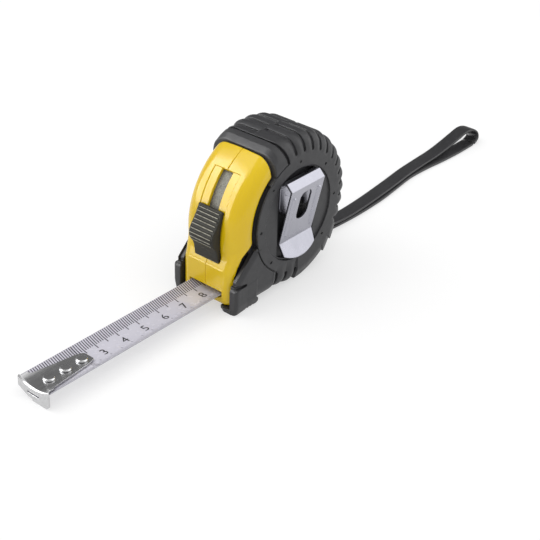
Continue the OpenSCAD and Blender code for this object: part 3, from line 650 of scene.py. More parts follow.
def trim_arm(body, x, y, z, r):
    """body cut to what the rubber clads, with the arm's slanted bevel and the undercut beside the shell."""
    edge = clad(y, z, r)
    body = rmax(body, edge, 0.35)
    slant = ((x - 14.0) * 2.2 + arm_outline(y, z) * 1.5) / 2.66
    slant = slant - 40 * np.clip((z - 23.5) / 2, 0, 1) - 40 * np.clip((y + 21) / 4, 0, 1)
    body = rmax(body, slant, 0.3)
    under = common(-1.3 - edge, x - np.where(z > 24, 14.8, 14.1), z - 47, 12 - z)
    return cut(body, np.maximum(under, -drum(x, r, CORE_R + 0.65, CORE_HALF + 0.65, CORE_E)), 0.12)


def lower_rear(x, r, a):
    """A bevelled shoulder with the two lugs."""
    climb = np.zeros_like(r)
    for step in LUG_STEPS:
        t = (step + LUG_ARC - a) / LUG_ARC
        climb = climb + np.where((t > 0) & (t < 1), LUG_RISE * t, 0)
    shoulder = ((r - climb - 25.4) * 1.6 + (x - HALF_W) * 4.2) / 4.494
    brow = ((r - climb - 28.6) * 2.0 + (x - 14.9) * 2.2) / 2.973
    rear = rmax(r - CROWN_R - climb, x - HALF_W, 0.5)
    rear = rmax(rmax(rear, shoulder, 0.3), brow, 0.3)
    return common(rear, (a + 31) * 0.5, (-88 - a) * 0.5)


def add_foot(body, x, y, z):
    """body with the stepped foot and the toe under the shell's nose."""
    taper = np.clip((4.2 - z) / 4.2, 0, 1) ** 1.5
    flare = 0.4 * (1 - np.clip((-28 - y) / 5, 0, 1))
    plan = box2(x + taper + flare, y, NOSE_HALF - 3, 15.9, FOOT_Y0 + 0.3, 10, 1.3)
    plan = rmax(plan, NOSE_HALF + 0.02 - x, 0.4)
    heel = FOOT_Y0 + FOOT_L
    foot = rmax(plan, polygon(y, z, [
        (FOOT_Y0, 0), (heel - 0.8, 0), (heel - 0.1, 0.8), (heel, 1.6), (heel - 0.6, 2.8), (heel - 1.8, 3.6),
        (heel - 1.8, FOOT_H + 0.6), (FOOT_Y0 + 7, FOOT_H - 0.2), (FOOT_Y0 + 1.5, FOOT_H),
        (FOOT_Y0, FOOT_H - 0.8)]), 0.4)
    for i in range(3):
        foot = cut(foot, np.hypot(y - heel + 3.2 + 1.7 * i, z) - 0.55, 0.15)
    body = smin(body, foot, 0.5)
    toe = box2(x, y, NOSE_HALF - 4.7, 40, FOOT_Y0 + 0.3, FOOT_Y0 + FOOT_L - 3, 2.6)
    toe = np.maximum(rmax(toe, z - NOSE_Z0 + 0.1, 0.3), x - NOSE_HALF - 1.0)
    body = smin(body, toe, 0.3)
    return rmax(body, -z, 0.35)


def hollow(body, x, y, z, r):
    """body without the room for the shell and the blade, and with the dark floor of the arm's channel."""
    body = np.maximum(body, -drum(x, r, CORE_R + 0.03, CORE_HALF + 0.03, CORE_E))
    body = cut(body, common(x - NOSE_HALF - 0.03, y - BAND_Y, NOSE_Z0 - z, z - 25.5), 0.15)
    body = cut(body, common(x - MOUTH_HALF, y + 7, MOUTH_Z0 - z, z - MOUTH_Z1), 0.1)
    body = cut(body, common(x - NOSE_HALF + 4.7, y - FOOT_Y0 - FOOT_L + 3, z - NOSE_Z0), 0.1)
    lining = common(arm_outline(y, z) - channel_w(z) + 0.1, np.abs(x - LINING_X) - 0.3, 13.2 - z, y + 20)
    return np.minimum(body, lining)


def side_face(body, x, y, z, r, a, side):
    """body with the clip's recess and the line round the ring."""
    body = cut(body, np.maximum(r - RECESS_R, PLAIN_X + 0.2 - x), 0.08)
    if side > 0:
        pocket = np.maximum(box2(y, z, -11.2, 9.6, 12.6, 49.5, 2.0), r - RECESS_R + 0.7)
        body = cut(body, np.maximum(pocket, FLOOR_X - x), 0.2)
    arc = np.maximum((FIRST_GROOVE - a) * 0.4, (a - 242) * 0.4)
    return cut(body, common(np.abs(r - RING_R) - 0.2, HALF_W - 0.55 - x, arc), 0.12)


def tread(body, x, y, z, r, a, near):
    """body with the grooves of the crown and of the sole."""
    deep = -drum(x, r, CROWN_R, HALF_W, CROWN_E) - GROOVE_D
    half = np.where(x < 7, 0.3, np.minimum(0.3 + (x - 7) * 0.06, GROOVE_W / 2))
    first = np.abs(a - FIRST_GROOVE) * CROWN_R * math.pi / 180 - half
    body = cut(body, common(first, deep, RING_R - 0.1 - r), 0.2)
    groove = np.hypot(near, np.maximum(RING_R + 1.65 - r, 0)) - GROOVE_W / 2
    body = cut(body, common(groove, deep, 0.9 - x), 0.2)
    low = np.hypot(np.maximum(x - (HALF_W - CROWN_E), 0), np.maximum(CROWN_E - z, 0)) - CROWN_E + 1.4
    deep = np.where(z < CROWN_E, -low, HALF_W - 1.4 - x)
    for i in range(3):
        slot = np.abs(y - (i - 2) * SOLE_PITCH) - 0.7
        body = cut(body, common(slot, deep, RING_R + 0.4 - r, z - 14, 6 - x), 0.3)
    return body


def jacket(x, y, z, side):
    """One rubber half at x > 0; side is 1 for the clip's side and -1 for the other, drawn in a mirror."""
    r = np.hypot(y, z - AXLE_Z)
    a = angle(y, z, 0, AXLE_Z)
    near = to_groove(a, side)
    body = trim_arm(crown_and_sole(x, y, z, r, near), x, y, z, r)
    body = np.minimum(body, lower_rear(x, r, a))
    # under the shadow gap lies a thin skirt
    skirt = np.maximum(drum(x, r, CORE_R + 0.6, CORE_HALF + 0.6, CORE_E), clad(y, z, r, SHADOW_GAP - 0.05))
    body = np.minimum(body, skirt)
    body = hollow(add_foot(body, x, y, z), x, y, z, r)
    body = tread(side_face(body, x, y, z, r, a, side), x, y, z, r, a, near)
    for i in range(PIPS):
        b = 2 * math.pi * i / PIPS
        pip = np.hypot(y - PIP_RING_R * math.cos(b), z - AXLE_Z - PIP_RING_R * math.sin(b)) - 0.5
        body = cut(body, np.maximum(pip, HALF_W - 0.5 - x), 0.12)
    # the wedge notch between arm and foot
    wedge = polygon(y, z, [(-37, 11.1), (-28.4, 10.8), (-28.6, 11.8), (-37, 13.2)])
    body = cut(body, np.maximum(wedge, (14.2 if side > 0 else 15.0) - x), 0.15)
    if side < 0:
        for sy, sz in SCREWS:
            body = cut(body, np.maximum(np.hypot(y - sy, z - sz) - 2.2, 11.2 - x), 0.2)
    return cut(body, strap_pocket(x * side, y, z), 0.25)


def make_jackets():
    h = 0.3
    lo, hi = (-0.9, -36.2, -0.6), (16.5, 32.6, 61.9)

    def outer(side):
        return lambda x, y, z: jacket(x * side, y, z, side)

    def half(side):
        """One half, drawn a little past the middle plane, where it sinks slightly under the other."""
        def field(x, y, z):
            past = -x * side
            return np.maximum(jacket(x * side, y, z, side) + 0.5 * np.maximum(past, 0), past - 0.5)
        return field

    right = carve("rubber_right", half(1), lo, hi, h, outer(1))
    left = carve("rubber_left", half(-1), (-hi[0], lo[1], lo[2]), (-lo[0], hi[1], hi[2]), h, outer(-1))
    dress(right, RUBBER, "case", "jacket", "jacket_right")
    dress(left, RUBBER, "case", "jacket", "jacket_left")


# ---- the yellow housing ----

# where the lock's track and slot begin and end, in degrees about the front arc's centre
TRACK = (134, 194)
SLOT = (134.2, 190)
ROOM = (118, 217)


def chin_y(z):
    """The nose's front seen from the side: upright, then leaning back over the ledge."""
    return smax(np.full_like(z, NOSE_Y), NOSE_Y + 0.7 + 0.364 * (z - LEDGE_Z - 0.3), 0.5)


def housing(x, y, z):
    """One housing half at x > 0."""
    r = np.hypot(y, z - AXLE_Z)
    rf = np.hypot(y - FRONT_Y, z - FRONT_Z)
    af = angle(y, z, FRONT_Y, FRONT_Z)
    front = drum(x, rf + 0.25 * (x / 8) ** 2, FRONT_R, FRONT_HALF, FRONT_E)
    keep = polygon(y, z, [
        (0, 24.5), (-23.2, 24.5), (NOSE_Y, LEDGE_Z + 0.5), (-60, LEDGE_Z + 0.5), (-60, 90), (0, 90)])
    back = 1.1 * np.clip((z - 13) / 7, 0, 1) * np.clip((27 - z) / 3, 0, 1)
    keep = np.maximum(keep, np.maximum(-clad(y, z, r, SHADOW_GAP), -arm_outline(y, z, SHADOW_GAP) + back))
    low = common(x - NOSE_HALF, 21 - z, z - 26, y - BAND_Y)
    front = rmax(front, np.minimum(keep, low), 0.4)
    # the nose and the chin over it
    wide = NOSE_HALF + np.clip((z - LEDGE_Z) / 4, 0, 1) * 0.6
    nose = corner(x - (wide - NOSE_CORNER), chin_y(z) + NOSE_CORNER - y) - NOSE_CORNER
    panel = rmax(rmax(NOSE_Y - y, x - 8.9, 0.9), z - LEDGE_Z + 0.5, 0.9)
    nose = np.minimum(nose, np.maximum(panel, y - NOSE_Y - 3))
    nose = rmax(nose, NOSE_Z0 - z, 1.8)
    nose = common(nose, z - 23.0, y - BAND_Y)
    body = smin(front, nose, 0.8)
    body = np.minimum(body, drum(x, r, CORE_R, CORE_HALF, CORE_E))
    # the inside
    cavity = np.maximum(r - CAVITY_R, x - CAVITY_HALF)
    for sy, sz in SCREWS:
        cavity = np.maximum(cavity, 2.3 - np.hypot(y - sy, z - sz))
    cavity = np.maximum(cavity, 3.2 - np.hypot(y - PIN_Y, z - PIN_Z))
    body = np.maximum(body, -cavity)
    # the channel along the arm's edge
    channel = np.maximum(arm_outline(y, z) - channel_w(z), CHANNEL_X - x)
    channel = np.maximum(channel, np.maximum(13.0 - z, z - 26.5) * 0.8)
    body = cut(body, channel, 0.15)
    # the mouth, whose lip follows the blade
    mouth = common(np.hypot(x, z - BLADE_Z - CUP_R) - CUP_R - 1.1, x - MOUTH_HALF, z - MOUTH_Z1, y + 28)
    duct = common(x - MOUTH_HALF, np.abs(y + 19) - 9.5, MOUTH_Z0 - z, z - MOUTH_Z1)
    body = cut(body, np.minimum(mouth, duct), 0.2)
    # the lock's track, slot and room
    track = common(x - 6.0, FRONT_R - 0.45 - rf, (TRACK[0] - af) * 0.55, (af - TRACK[1]) * 0.55)
    body = cut(body, track, 0.22)
    slot = common(x - 2.55, 29 - rf, (SLOT[0] - af) * 0.55, (af - SLOT[1]) * 0.55)
    room = common(x - 5.2, 29.3 - rf, rf - FRONT_IN_R, (ROOM[0] - af) * 0.5, (af - ROOM[1]) * 0.5)
    return cut(body, np.minimum(slot, room), 0.15)


def make_housing():
    h = 0.3

    def half(side):
        return lambda x, y, z: rmax(
            cut(housing(x * side, y, z), strap_pocket(x, y, z), 0.1), 0.02 - x * side, 0.15)

    lo, hi = (-0.3, -35.4, 0.8), (14.4, 29.4, 61.6)
    right = carve("housing_shell_right", half(1), lo, hi, h)
    left = carve("housing_shell_left", half(-1), (-hi[0], lo[1], lo[2]), (-lo[0], hi[1], hi[2]), h)
    dress(right, YELLOW, "case", "housing", "housing_right")
    dress(left, YELLOW, "case", "housing", "housing_left")


# ---- the lock button ----

# the thumb face's height over the front arc, by the angle in degrees
FACE_A = np.array([155, 157, 161, 165, 169, 173, 176, 179, 181.5, 184, 187, 193.5, 196])
FACE_H = np.array([1.0, 1.0, 1.15, 1.6, 2.5, 3.8, 4.4, 4.2, 3.3, 2.3, 1.8, 1.9, 1.9])
BUTTON_ENDS = (159.3, 194.0)
BUTTON_HALF = 5.8


def button(x, y, z):
    rf = np.hypot(y - FRONT_Y, z - FRONT_Z)
    af = angle(y, z, FRONT_Y, FRONT_Z)
    face = rf - FRONT_R - np.interp(af, FACE_A, FACE_H) + 0.1
    k = (af - RIDGE_0) / RIDGE_STEP
    tooth = np.abs(k - np.round(k)) * RIDGE_STEP * 0.6
    on = (np.round(k) >= 0) & (np.round(k) < RIDGES)
    ridge = np.where(on, np.clip(0.45 - np.maximum(tooth - 0.12, 0) * 1.6, 0, 0.45), 0.0)
    ends = np.maximum(BUTTON_ENDS[0] - af, af - BUTTON_ENDS[1]) * 0.6
    flank = np.abs(x) - BUTTON_HALF
    ridged = rmax(face - ridge, flank + 0.75, 0.12)
    plain = rmax(face, flank, 0.45)
    d = rmax(np.minimum(ridged, plain), ends, 0.3)
    d = np.maximum(d, FRONT_R - 0.2 - rf)
    stem = common(np.abs(x) - 2.2, np.abs(rf - 32.4) - 1.2, (163 - af) * 0.55, (af - 188) * 0.55)
    return np.minimum(d, stem)


def make_button():
    obj = carve("thumb_button", button, (-6.5, -38.4, 15.8), (6.5, -28.0, 42.5), 0.16)
    dress(obj, BUTTON, "lock", "button", "lock_button")


# ---- the belt clip ----

CLIP_T = 0.9
LEG_FOOT = (14.08, 19.85)
LEG_HEAD = (19.22, 43.3)
CLIP_LINE = [
    (13.55, 31.2), (13.55, 42.6), (13.8, 43.8), (14.5, 44.9), (15.6, 45.6), (16.9, 45.62),
    LEG_HEAD, LEG_FOOT, (17.35, 12.6)]
# the tab behind the leg lies at smaller x
TAB_X = 14.05


def clip(x, y, z):
    sheet = near_lines(x, z, list(zip(CLIP_LINE, CLIP_LINE[1:]))) - CLIP_T / 2
    low = np.maximum(np.hypot(y, z - AXLE_Z) - 17.4, z - AXLE_Z)
    high = np.maximum(np.hypot(y, z - AXLE_Z) - 18.5, AXLE_Z - 0.1 - z)
    plan = np.maximum(np.minimum(low, high), np.abs(y) - 9.4 + np.clip((19.8 - z) / 8, 0, 1) * 0.9)
    # the embossed ribs of the leg
    t = np.clip(z, 23.4, 39.4)
    lean = (LEG_HEAD[0] - LEG_FOOT[0]) / (LEG_HEAD[1] - LEG_FOOT[1])
    rib_x = LEG_FOOT[0] + (t - LEG_FOOT[1]) * lean + CLIP_T / 2
    for rib_y in (-6.9, 7.3):
        rib = np.sqrt((y - rib_y) ** 2 + (z - t) ** 2 + ((x - rib_x + 0.3) * 0.9) ** 2) - 0.85
        sheet = smin(sheet, rib, 0.25)
    d = rmax(sheet, plan, 0.14)
    # the long hole of the leg
    hole = polygon(y, z, mirrored([
        (0.7, 28.35), (2.0, 28.9), (2.9, 30.0), (3.2, 31.5), (3.2, 38.7), (2.6, 39.9), (1.6, 40.6)])) - 0.05
    d = cut(d, np.maximum(hole, 14.6 - x), 0.12)
    # the tab's rounded lower corners and its slot
    tab = box2(y, z, -9.4, 9.4, 31.3, 60, 4.0)
    d = np.maximum(d, np.minimum(np.maximum(tab, x - TAB_X), TAB_X - x))
    slot = common(np.hypot(y, np.maximum(z - 31.4, 0)) - 5.0, 24 - z, x - TAB_X)
    return cut(d, slot, 0.1)


def make_clip():
    obj = carve("clip_sheet", clip, (12.4, -10.0, 11.6), (20.4, 10.0, 46.8), 0.2)
    dress(obj, CLIP, "case", "clip_steel", "belt_clip")


# ---- the blade ----

INK_LIFT = 0.02
ACROSS = 49
# the reach of the scale's marks across the blade, and the numbers' middle
MM_MARK = (-7.55, -3.75)
HALF_CM_MARK = (-7.55, -2.35)
CM_MARK = (-7.55, -2.0)
FAINT_MARK = (3.9, 4.9)
NUMBER_X = 1.1
NUMBER_H = 3.7


def cupped(x):
    """Height of the blade's upper side."""
    return BLADE_Z + CUP_R - np.sqrt(CUP_R ** 2 - x ** 2)


def blade_strip(name, y0, y1, n_len):
    """A cupped strip with rounded edges between y0 and y1."""
    xs = np.linspace(-BLADE_HALF, BLADE_HALF, ACROSS)
    nrm = np.stack([-xs / np.sqrt(CUP_R ** 2 - xs ** 2), np.ones_like(xs)], 1)
    nrm /= np.linalg.norm(nrm, axis=1)[:, None]
    top = np.stack([xs, cupped(xs)], 1)
    under = (top - nrm * BLADE_T)[::-1]
    # a small round at each edge
    right = (top[-1] + under[0]) / 2 + (0.08, 0)
    left = (top[0] + under[-1]) / 2 - (0.08, 0)
    loop = np.concatenate([top, [right], under, [left]])
    m = len(loop)
    verts = np.concatenate([np.column_stack([loop[:, 0], np.full(m, y), loop[:, 1]])
                            for y in np.linspace(y0, y1, n_len)])
    quads = tube_quads(n_len, m)
    # the two end faces, made of quads between the upper and the lower side
    for base, turn in ((0, -1), ((n_len - 1) * m, 1)):
        for i in range(ACROSS - 1):
            q = (base + i, base + i + 1, base + 2 * ACROSS - 1 - i, base + 2 * ACROSS - i)
            quads.append(q[::turn])
    obj = to_object(name, verts, quads)
    for face in obj.data.polygons[-2 * (ACROSS - 1):]:
        face.use_smooth = False
    return obj


def mark_strip(bars, name):
    """Thin printed bars on the blade: each is (x0, x1, y centre, width along Y)."""
    verts = []
    quads = []
    for x0, x1, y, w in bars:
        n = max(2, int(abs(x1 - x0) / 0.5) + 1)
        base = len(verts)
        for x in np.linspace(x0, x1, n):
            for edge_y in (y - w / 2, y + w / 2):
                verts += [(x, edge_y, cupped(x) + INK_LIFT), (x, edge_y, cupped(x))]
        for a in range(base, base + (n - 1) * 4, 4):
            b = a + 4
            quads += [(a, b, b + 2, a + 2), (a + 1, a + 3, b + 3, b + 1), (a, a + 1, b + 1, b),
                      (a + 2, b + 2, b + 3, a + 3)]
        e = base + (n - 1) * 4
        quads += [(base, base + 2, base + 3, base + 1), (e, e + 1, e + 3, e + 2)]
    obj = to_object(name, np.array(verts, float), quads)
    for face in obj.data.polygons:
        face.use_smooth = False
    return obj


def numerals(name, numbers):
    """Centimetre numbers as thin raised ink, each turned so that its top points towards -X."""
    bm = bmesh.new()
    for number in numbers:
        cu = bpy.data.curves.new(name, "FONT")
        cu.body = str(number)
        cu.size = NUMBER_H * 1.38 * MM
        cu.align_x = "CENTER"
        cu.align_y = "CENTER"
        cu.resolution_u = 4
        cu.extrude = 0.012 * MM
        tmp = bpy.data.objects.new(name, cu)
        bpy.context.scene.collection.objects.link(tmp)
        me = bpy.data.meshes.new_from_object(tmp.evaluated_get(bpy.context.evaluated_depsgraph_get()))
        bpy.data.objects.remove(tmp)
        v = np.empty(len(me.vertices) * 3)
        me.vertices.foreach_get("co", v)
        v = v.reshape(-1, 3) / MM
        mid = (v[:, :2].min(0) + v[:, :2].max(0)) / 2
        x = NUMBER_X - (v[:, 1] - mid[1])
        y = ZERO_Y + 10 * number - 0.4 + (v[:, 0] - mid[0])
        z = cupped(np.clip(x, -7.4, 7.4)) + INK_LIFT + v[:, 2]
        me.vertices.foreach_set("co", (np.stack([x, y, z], 1) * MM).astype(np.float32).ravel())
        me.update()
        bm.from_mesh(me)
    bmesh.ops.triangulate(bm, faces=[f for f in bm.faces if len(f.verts) > 4])
    out = bpy.data.meshes.new(name)
    bm.to_mesh(out)
    bm.free()
    obj = bpy.data.objects.new(name, out)
    bpy.context.scene.collection.objects.link(obj)
    return obj


def make_blade():
    drawn = blade_strip("blade_strip", TIP_END_Y, BLADE_Y1, 42)
    tip = blade_strip("blade_end_strip", HOOK_Y + HOOK_T + 0.1, TIP_END_Y - 0.05, 14)
    soft = [(drawn, LACQUER)]
    rigid = [(tip, LACQUER)]
    for label, n0, n1, group in (("tip", 1, 22, rigid), ("drawn", 23, 103, soft)):
        fine = []
        longer = []
        for n in range(n0, n1 + 1):
            if n % 5:
                fine.append((*MM_MARK, ZERO_Y + n, 0.4))
            else:
                longer.append((*(HALF_CM_MARK if n % 10 else CM_MARK), ZERO_Y + n, 0.42))
        group.append((mark_strip(fine, f"marks_mm_{label}"), TICK))
        group.append((mark_strip(longer, f"marks_cm_{label}"), TICK))
        if label == "drawn":
            faint = [(*FAINT_MARK, mark[2], 0.3) for mark in longer]
            group.append((mark_strip(faint, f"marks_faint_{label}"), FAINT))
    soft.append((numerals("numerals_drawn", range(3, 11)), INK))
    rigid.append((numerals("numerals_tip", (1, 2)), INK))
    for obj, mat in rigid:
        dress(obj, mat, "blade_end", "blade")
    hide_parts("blade_tip")
    for obj, mat in soft:
        dress(obj, mat, "case", "blade")
        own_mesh(obj)
    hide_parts("blade")


# ---- the hook and its rivets ----

HOOK_HALF = 7.0
# between the blade and the hook's plate
HOOK_GAP = 0.15


def hook(x, y, z):
    cup = np.hypot(x, z - BLADE_Z - CUP_R)
    plate = np.abs(cup - (CUP_R - HOOK_GAP - HOOK_T / 2)) - HOOK_T / 2
    plate = np.where(z < BLADE_Z + 8, plate, 5.0)
    plan = mirrored([
        (HOOK_HALF, -2), (HOOK_HALF, 3.4), (HOOK_HALF - 1.2, 4.6), (3.5, 22.6), (2.6, 25.2), (1.6, 25.6)])
    plate = np.maximum(plate, polygon(x, y, [(px, HOOK_Y + py) for px, py in plan]))
    # the bent face: its outer side rounds over into the plate
    rise = cupped(np.clip(x, -8, 8)) + HOOK_GAP + HOOK_T
    plate = rmax(plate, HOOK_Y - y, 0.1)
    face = np.abs(y - HOOK_Y - HOOK_T / 2) - HOOK_T / 2
    shape = box2(x, z, -7.5, 7.5, 0.06, 12, 1.6)
    shape = np.maximum(shape, z - rise)
    # its stepped lower corner, the nail slot and the small window
    notch = polygon(x, z, [
        (-9, -1), (-1.2, -1), (-1.2, 0.9), (-2.4, 1.0), (-4.4, 1.9), (-7.0, 3.2), (-9, 3.6)])
    shape = cut(shape, notch, 0.3)
    shape = cut(shape, box2(x, z, -1.7, -0.5, -1, 0.9, 0.2), 0.2)
    shape = cut(shape, box2(x, z, -3.0, 3.0, 2.55, 3.65, 0.5), 0.05)
    d = np.minimum(plate, np.maximum(face, shape))
    # a round outer bend
    bend = rmax(HOOK_Y - y, z - rise, 0.9)
    d = rmax(d, bend, 0.08)
    # slots, under the domes, in which the shanks of the rivets run as the hook slides
    for ry in RIVET_Y:
        d = cut(d, np.hypot(x, y - ry - np.clip(y - ry, *HOOK_PLAY)) - 1.05, 0.05)
    return d


def make_hook():
    obj = carve("end_hook", hook, (-8.0, HOOK_Y - 0.6, 0.0), (8.0, HOOK_Y + 26.2, 8.4), 0.16)
    dress(obj, CHROME, "hook", "polished", "hook")
    top = BLADE_Z + HOOK_GAP + HOOK_T
    below = BLADE_Z - BLADE_T
    profile = [
        (0, top + 0.98), (0.9, top + 0.97), (1.55, top + 0.93), (1.9, top + 0.8), (2.12, top + 0.55),
        (2.18, top + 0.32), (2.05, top + 0.16), (0.9, top + 0.12), (0.9, below - 0.02), (1.55, below - 0.05),
        (1.6, below - 0.3), (1.3, below - 0.42), (0, below - 0.45)]
    for i, y in enumerate(RIVET_Y):
        rivet = lathe(f"rivet_dome_{i + 1}", profile, (0, y, 0))
        dress(rivet, CHROME, "blade_end", "polished", f"rivet_{i + 1}")


# ---- the wrist strap ----

STRAP_T = 1.35
STRAP_YAW = 0.9
RIBBON_SIDES = 20


def ribbon(name, path, width, thick):
    """A strap with rounded edges along a path, its thickness square to the path in the YZ plane."""
    t = 2 * np.pi * (np.arange(RIBBON_SIDES) + 0.5) / RIBBON_SIDES
    c, s = np.cos(t), np.sin(t)
    across = np.sign(c) * np.abs(c) ** 0.45 * width / 2
    out = np.sign(s) * np.abs(s) ** 0.6 * thick / 2
    tang = np.gradient(path, axis=0)
    tang /= np.linalg.norm(tang, axis=1)[:, None]
    up = np.stack([np.zeros(len(path)), -tang[:, 2], tang[:, 1]], 1)
    up -= (up * tang).sum(1)[:, None] * tang
    up /= np.linalg.norm(up, axis=1)[:, None]
    side = np.cross(tang, up)
    rings = [path[i] + across[:, None] * side[i] + out[:, None] * up[i] for i in range(len(path))]
    verts = np.concatenate([*rings, path[:1], path[-1:]])
    last = (len(path) - 1) * RIBBON_SIDES
    base = last + RIBBON_SIDES
    faces = tube_quads(len(path), RIBBON_SIDES)
    for i in range(RIBBON_SIDES):
        k = (i + 1) % RIBBON_SIDES
        faces += [(k, i, base), (last + i, last + k, base + 1)]
    me = bpy.data.meshes.new(name)
    me.from_pydata([tuple(v * MM) for v in verts], [], faces)
    me.polygons.foreach_set("use_smooth", np.ones(len(me.polygons), bool))
    me.update()
    obj = bpy.data.objects.new(name, me)
    bpy.context.scene.collection.objects.link(obj)
    return obj


def spline(points, n):
    """A smooth curve through the points."""
    p = np.array(points, float)
    d = np.concatenate([[0], np.cumsum(np.linalg.norm(np.diff(p, axis=0), axis=1) ** 0.5)])
    out = []
    for s in np.linspace(0, d[-1], n):
        i = min(max(int(np.searchsorted(d, s) - 1), 0), len(p) - 2)
        t = (s - d[i]) / (d[i + 1] - d[i])
        p0 = p[i - 1] if i > 0 else 2 * p[i] - p[i + 1]
        p3 = p[i + 2] if i + 2 < len(p) else 2 * p[i + 1] - p[i]
        m1 = (p[i + 1] - p0) / 2
        m2 = (p3 - p[i]) / 2
        out.append((2 * t ** 3 - 3 * t ** 2 + 1) * p[i] + (t ** 3 - 2 * t ** 2 + t) * m1
                   + (-2 * t ** 3 + 3 * t ** 2) * p[i + 1] + (t ** 3 - t ** 2) * m2)
    return np.array(out)


def sway(y):
    """The strap's middle: a slight yaw, and gentle curves to either side."""
    curve = np.interp(y, (24, 32, 42, 52, 67, 84, 98, 108, 120, 130, 140, 150),
                      (0, 0.4, 1.5, 2.1, 1.7, 0.4, -1.0, -1.6, -1.3, -1.1, -0.9, -0.9))
    return STRAP_X0 + STRAP_W / 2 - (y - PIN_Y) * math.tan(math.radians(STRAP_YAW)) + float(curve)


def make_strap():
    # over the pin, down to the ground and out to the eye
    route = [
        (PIN_Y + 3.5, PIN_Z - 4.2), (PIN_Y - 0.3, PIN_Z - 2.0), (PIN_Y - 1.7, PIN_Z),
        (PIN_Y - 0.2, PIN_Z + 1.7), (PIN_Y + 2.4, PIN_Z + 1.0), (26, 7.2), (33, 3.9), (42, 2.4), (52, 2.05),
        (64, 1.95), (76, 1.95), (88, 1.95), (100, 2.0), (112, 2.15), (122, 2.7), (131, 3.9), (139, 5.4),
        (146, 6.4), (150.6, 5.7), (152.4, 3.7), (151.6, 1.6), (148, 0.72)]
    skew = [0] * (len(route) - 4) + [0.6, 1.5, 2.3, 2.9]
    upper = spline([(sway(y) + dx, y, z) for (y, z), dx in zip(route, skew)], 200)
    dress(ribbon("strap_upper", upper, STRAP_W, STRAP_T), STRAP, "case", "strap", "strap")
    # back under the upper layer, a little aside of it
    route = [(PIN_Y + 5.5, PIN_Z - 4.6), (30, 2.6), (37, 0.95), (44, 0.7)]
    route += [(y, 0.68) for y in (54, 64, 76, 88, 100, 112, 124, 136, 147)]
    points = []
    for y, z in route:
        aside = math.exp(-((y - 78) / 20) ** 2) + 2.9 * min(max((y - 95) / 35, 0), 1)
        points.append((sway(y) + aside, y, z))
    lower = spline(points, 120)
    dress(ribbon("strap_lower", lower, STRAP_W, STRAP_T * 0.96), STRAP, "case", "strap")


# ---- the solids that keep their own shape ----

def dress_nodes():
    plan = {
        "axle_post": STEEL, "clip_screw": STEEL, "case_screw_1": STEEL, "case_screw_2": STEEL,
        "case_screw_3": STEEL, "case_screw_4": STEEL, "strap_pin": STEEL, "blade_lead": LACQUER,
        "drum": DRUM, "blade_coil": COIL, "power_spring": SPRING, "lock_band": BAND, "brake_pad": PAD}
    for name, mat in plan.items():
        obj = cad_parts[name]
        if not obj.material_slots:
            obj.data.materials.append(mat)
        for place in obj.material_slots:
            place.material = mat


# ---- floor, backdrop and light ----

FLOOR_HALF = 3.0
# what camera and glossy rays see of the floor: its colour, and the part of its white that is its own
FLOOR_SEEN = 0.5
FLOOR_GLOW = 0.53
FLOOR_LIT = 0.75
SKY_LEVEL = 0.74
SKY_SHINE = 0.62
# what shiny surfaces see: a tall soft box at the front left, a bright wall behind right, a darker one
# behind left; azimuth, half width, lowest and highest elevation, softness (degrees) and strength
SKY = [
    (-137.0, 20.0, 2.0, 48.0, 5.0, 5.6),
    (48.0, 30.0, -5.0, 48.0, 10.0, 1.2),
    (128.0, 34.0, 6.0, 60.0, 10.0, -0.4)]


def make_floor():
    me = bpy.data.meshes.new("floor")
    e = FLOOR_HALF
    me.from_pydata([(-e, -e, 0), (e, -e, 0), (e, e, 0), (-e, e, 0)], [], [(0, 1, 2, 3)])
    floor = bpy.data.objects.new("floor", me)
    floor.location.z = -0.00002
    bpy.context.scene.collection.objects.link(floor)
    mat = bpy.data.materials.new("floor")
    mat.use_nodes = True
    mat.node_tree.nodes.clear()
    m = Tree(mat.node_tree)
    path = m.add("LightPath")
    seen = m.calc("MAXIMUM", path.outputs["Is Camera Ray"], path.outputs["Is Glossy Ray"])
    diffuse = m.add("BsdfDiffuse")
    m.link(m.mix(seen, (FLOOR_LIT,) * 3 + (1,), (FLOOR_SEEN,) * 3 + (1,), "RGBA"), diffuse.inputs["Color"])
    # half of the backdrop's white is its own, so that the object's shadow stays light
    glow = m.add("Emission")
    m.link(m.calc("MULTIPLY", seen, FLOOR_GLOW), glow.inputs["Strength"])
    both = m.add("AddShader")
    m.link(diffuse.outputs["BSDF"], both.inputs[0])
    m.link(glow.outputs["Emission"], both.inputs[1])
    m.link(both.outputs[0], m.add("OutputMaterial").inputs["Surface"])
    me.materials.append(mat)


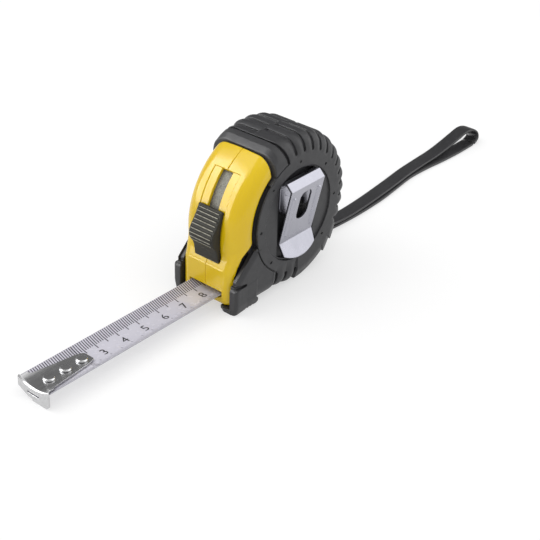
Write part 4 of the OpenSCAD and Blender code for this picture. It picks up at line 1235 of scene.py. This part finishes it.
def patch(m, xyz, azimuth, half_az, el_0, el_1, soft):
    """1 inside a window of the sky, 0 outside it."""
    c, s = math.cos(math.radians(azimuth)), math.sin(math.radians(azimuth))
    ahead = m.calc("ADD", m.calc("MULTIPLY", xyz["X"], c), m.calc("MULTIPLY", xyz["Y"], s))
    across = m.calc("SUBTRACT", m.calc("MULTIPLY", xyz["Y"], c), m.calc("MULTIPLY", xyz["X"], s))
    off = m.calc("MULTIPLY", m.calc("ABSOLUTE", m.calc("ARCTAN2", across, ahead)), DEGREES)
    lift = m.calc("MULTIPLY", m.calc("ARCSINE", xyz["Z"]), DEGREES)
    value = 1.0
    for v, v0, v1 in ((off, half_az + soft, half_az), (lift, el_0 - soft, el_0), (lift, el_1 + soft, el_1)):
        value = m.calc("MULTIPLY", m.spread(v, v0, v1, interpolation_type="SMOOTHSTEP"), value)
    return value


def make_sky():
    world = bpy.data.worlds.new("studio")
    world.use_nodes = True
    bpy.context.scene.world = world
    world.node_tree.nodes.clear()
    m = Tree(world.node_tree)
    path = m.add("LightPath").outputs
    xyz = m.axes(m.add("TexCoord").outputs["Generated"])
    shiny = SKY_SHINE
    for *window, gain in SKY:
        shiny = m.calc("ADD", m.calc("MULTIPLY", patch(m, xyz, *window), gain), shiny)
    level = m.mix(path["Is Glossy Ray"], SKY_LEVEL, shiny)
    seen = m.calc("MAXIMUM", path["Is Camera Ray"], path["Is Transmission Ray"])
    back = m.add("Background")
    m.give(back.inputs["Color"], (1, 1, 1, 1))
    m.link(m.mix(seen, level, 1.0), back.inputs["Strength"])
    m.link(back.outputs["Background"], m.add("OutputWorld").inputs["Surface"])


def soft_light(name, place, size, power):
    """A square light that faces the object."""
    data = bpy.data.lights.new(name, "AREA")
    data.shape = "RECTANGLE"
    data.size = size
    data.size_y = size
    data.energy = power
    lamp = bpy.data.objects.new(name, data)
    lamp.location = place
    lamp.rotation_euler = (Vector((0, 0, 0.02)) - Vector(place)).to_track_quat("-Z", "Y").to_euler()
    bpy.context.scene.collection.objects.link(lamp)


make_floor()
make_sky()
soft_light("key", (-0.55, -0.45, 0.9), 0.8, 3.0)
soft_light("top", (0.3, 0.3, 1.0), 0.9, 1.8)
bpy.context.scene.view_settings.view_transform = "Standard"
make_jackets()
make_housing()
make_button()
make_clip()
make_blade()
make_hook()
make_strap()
dress_nodes()
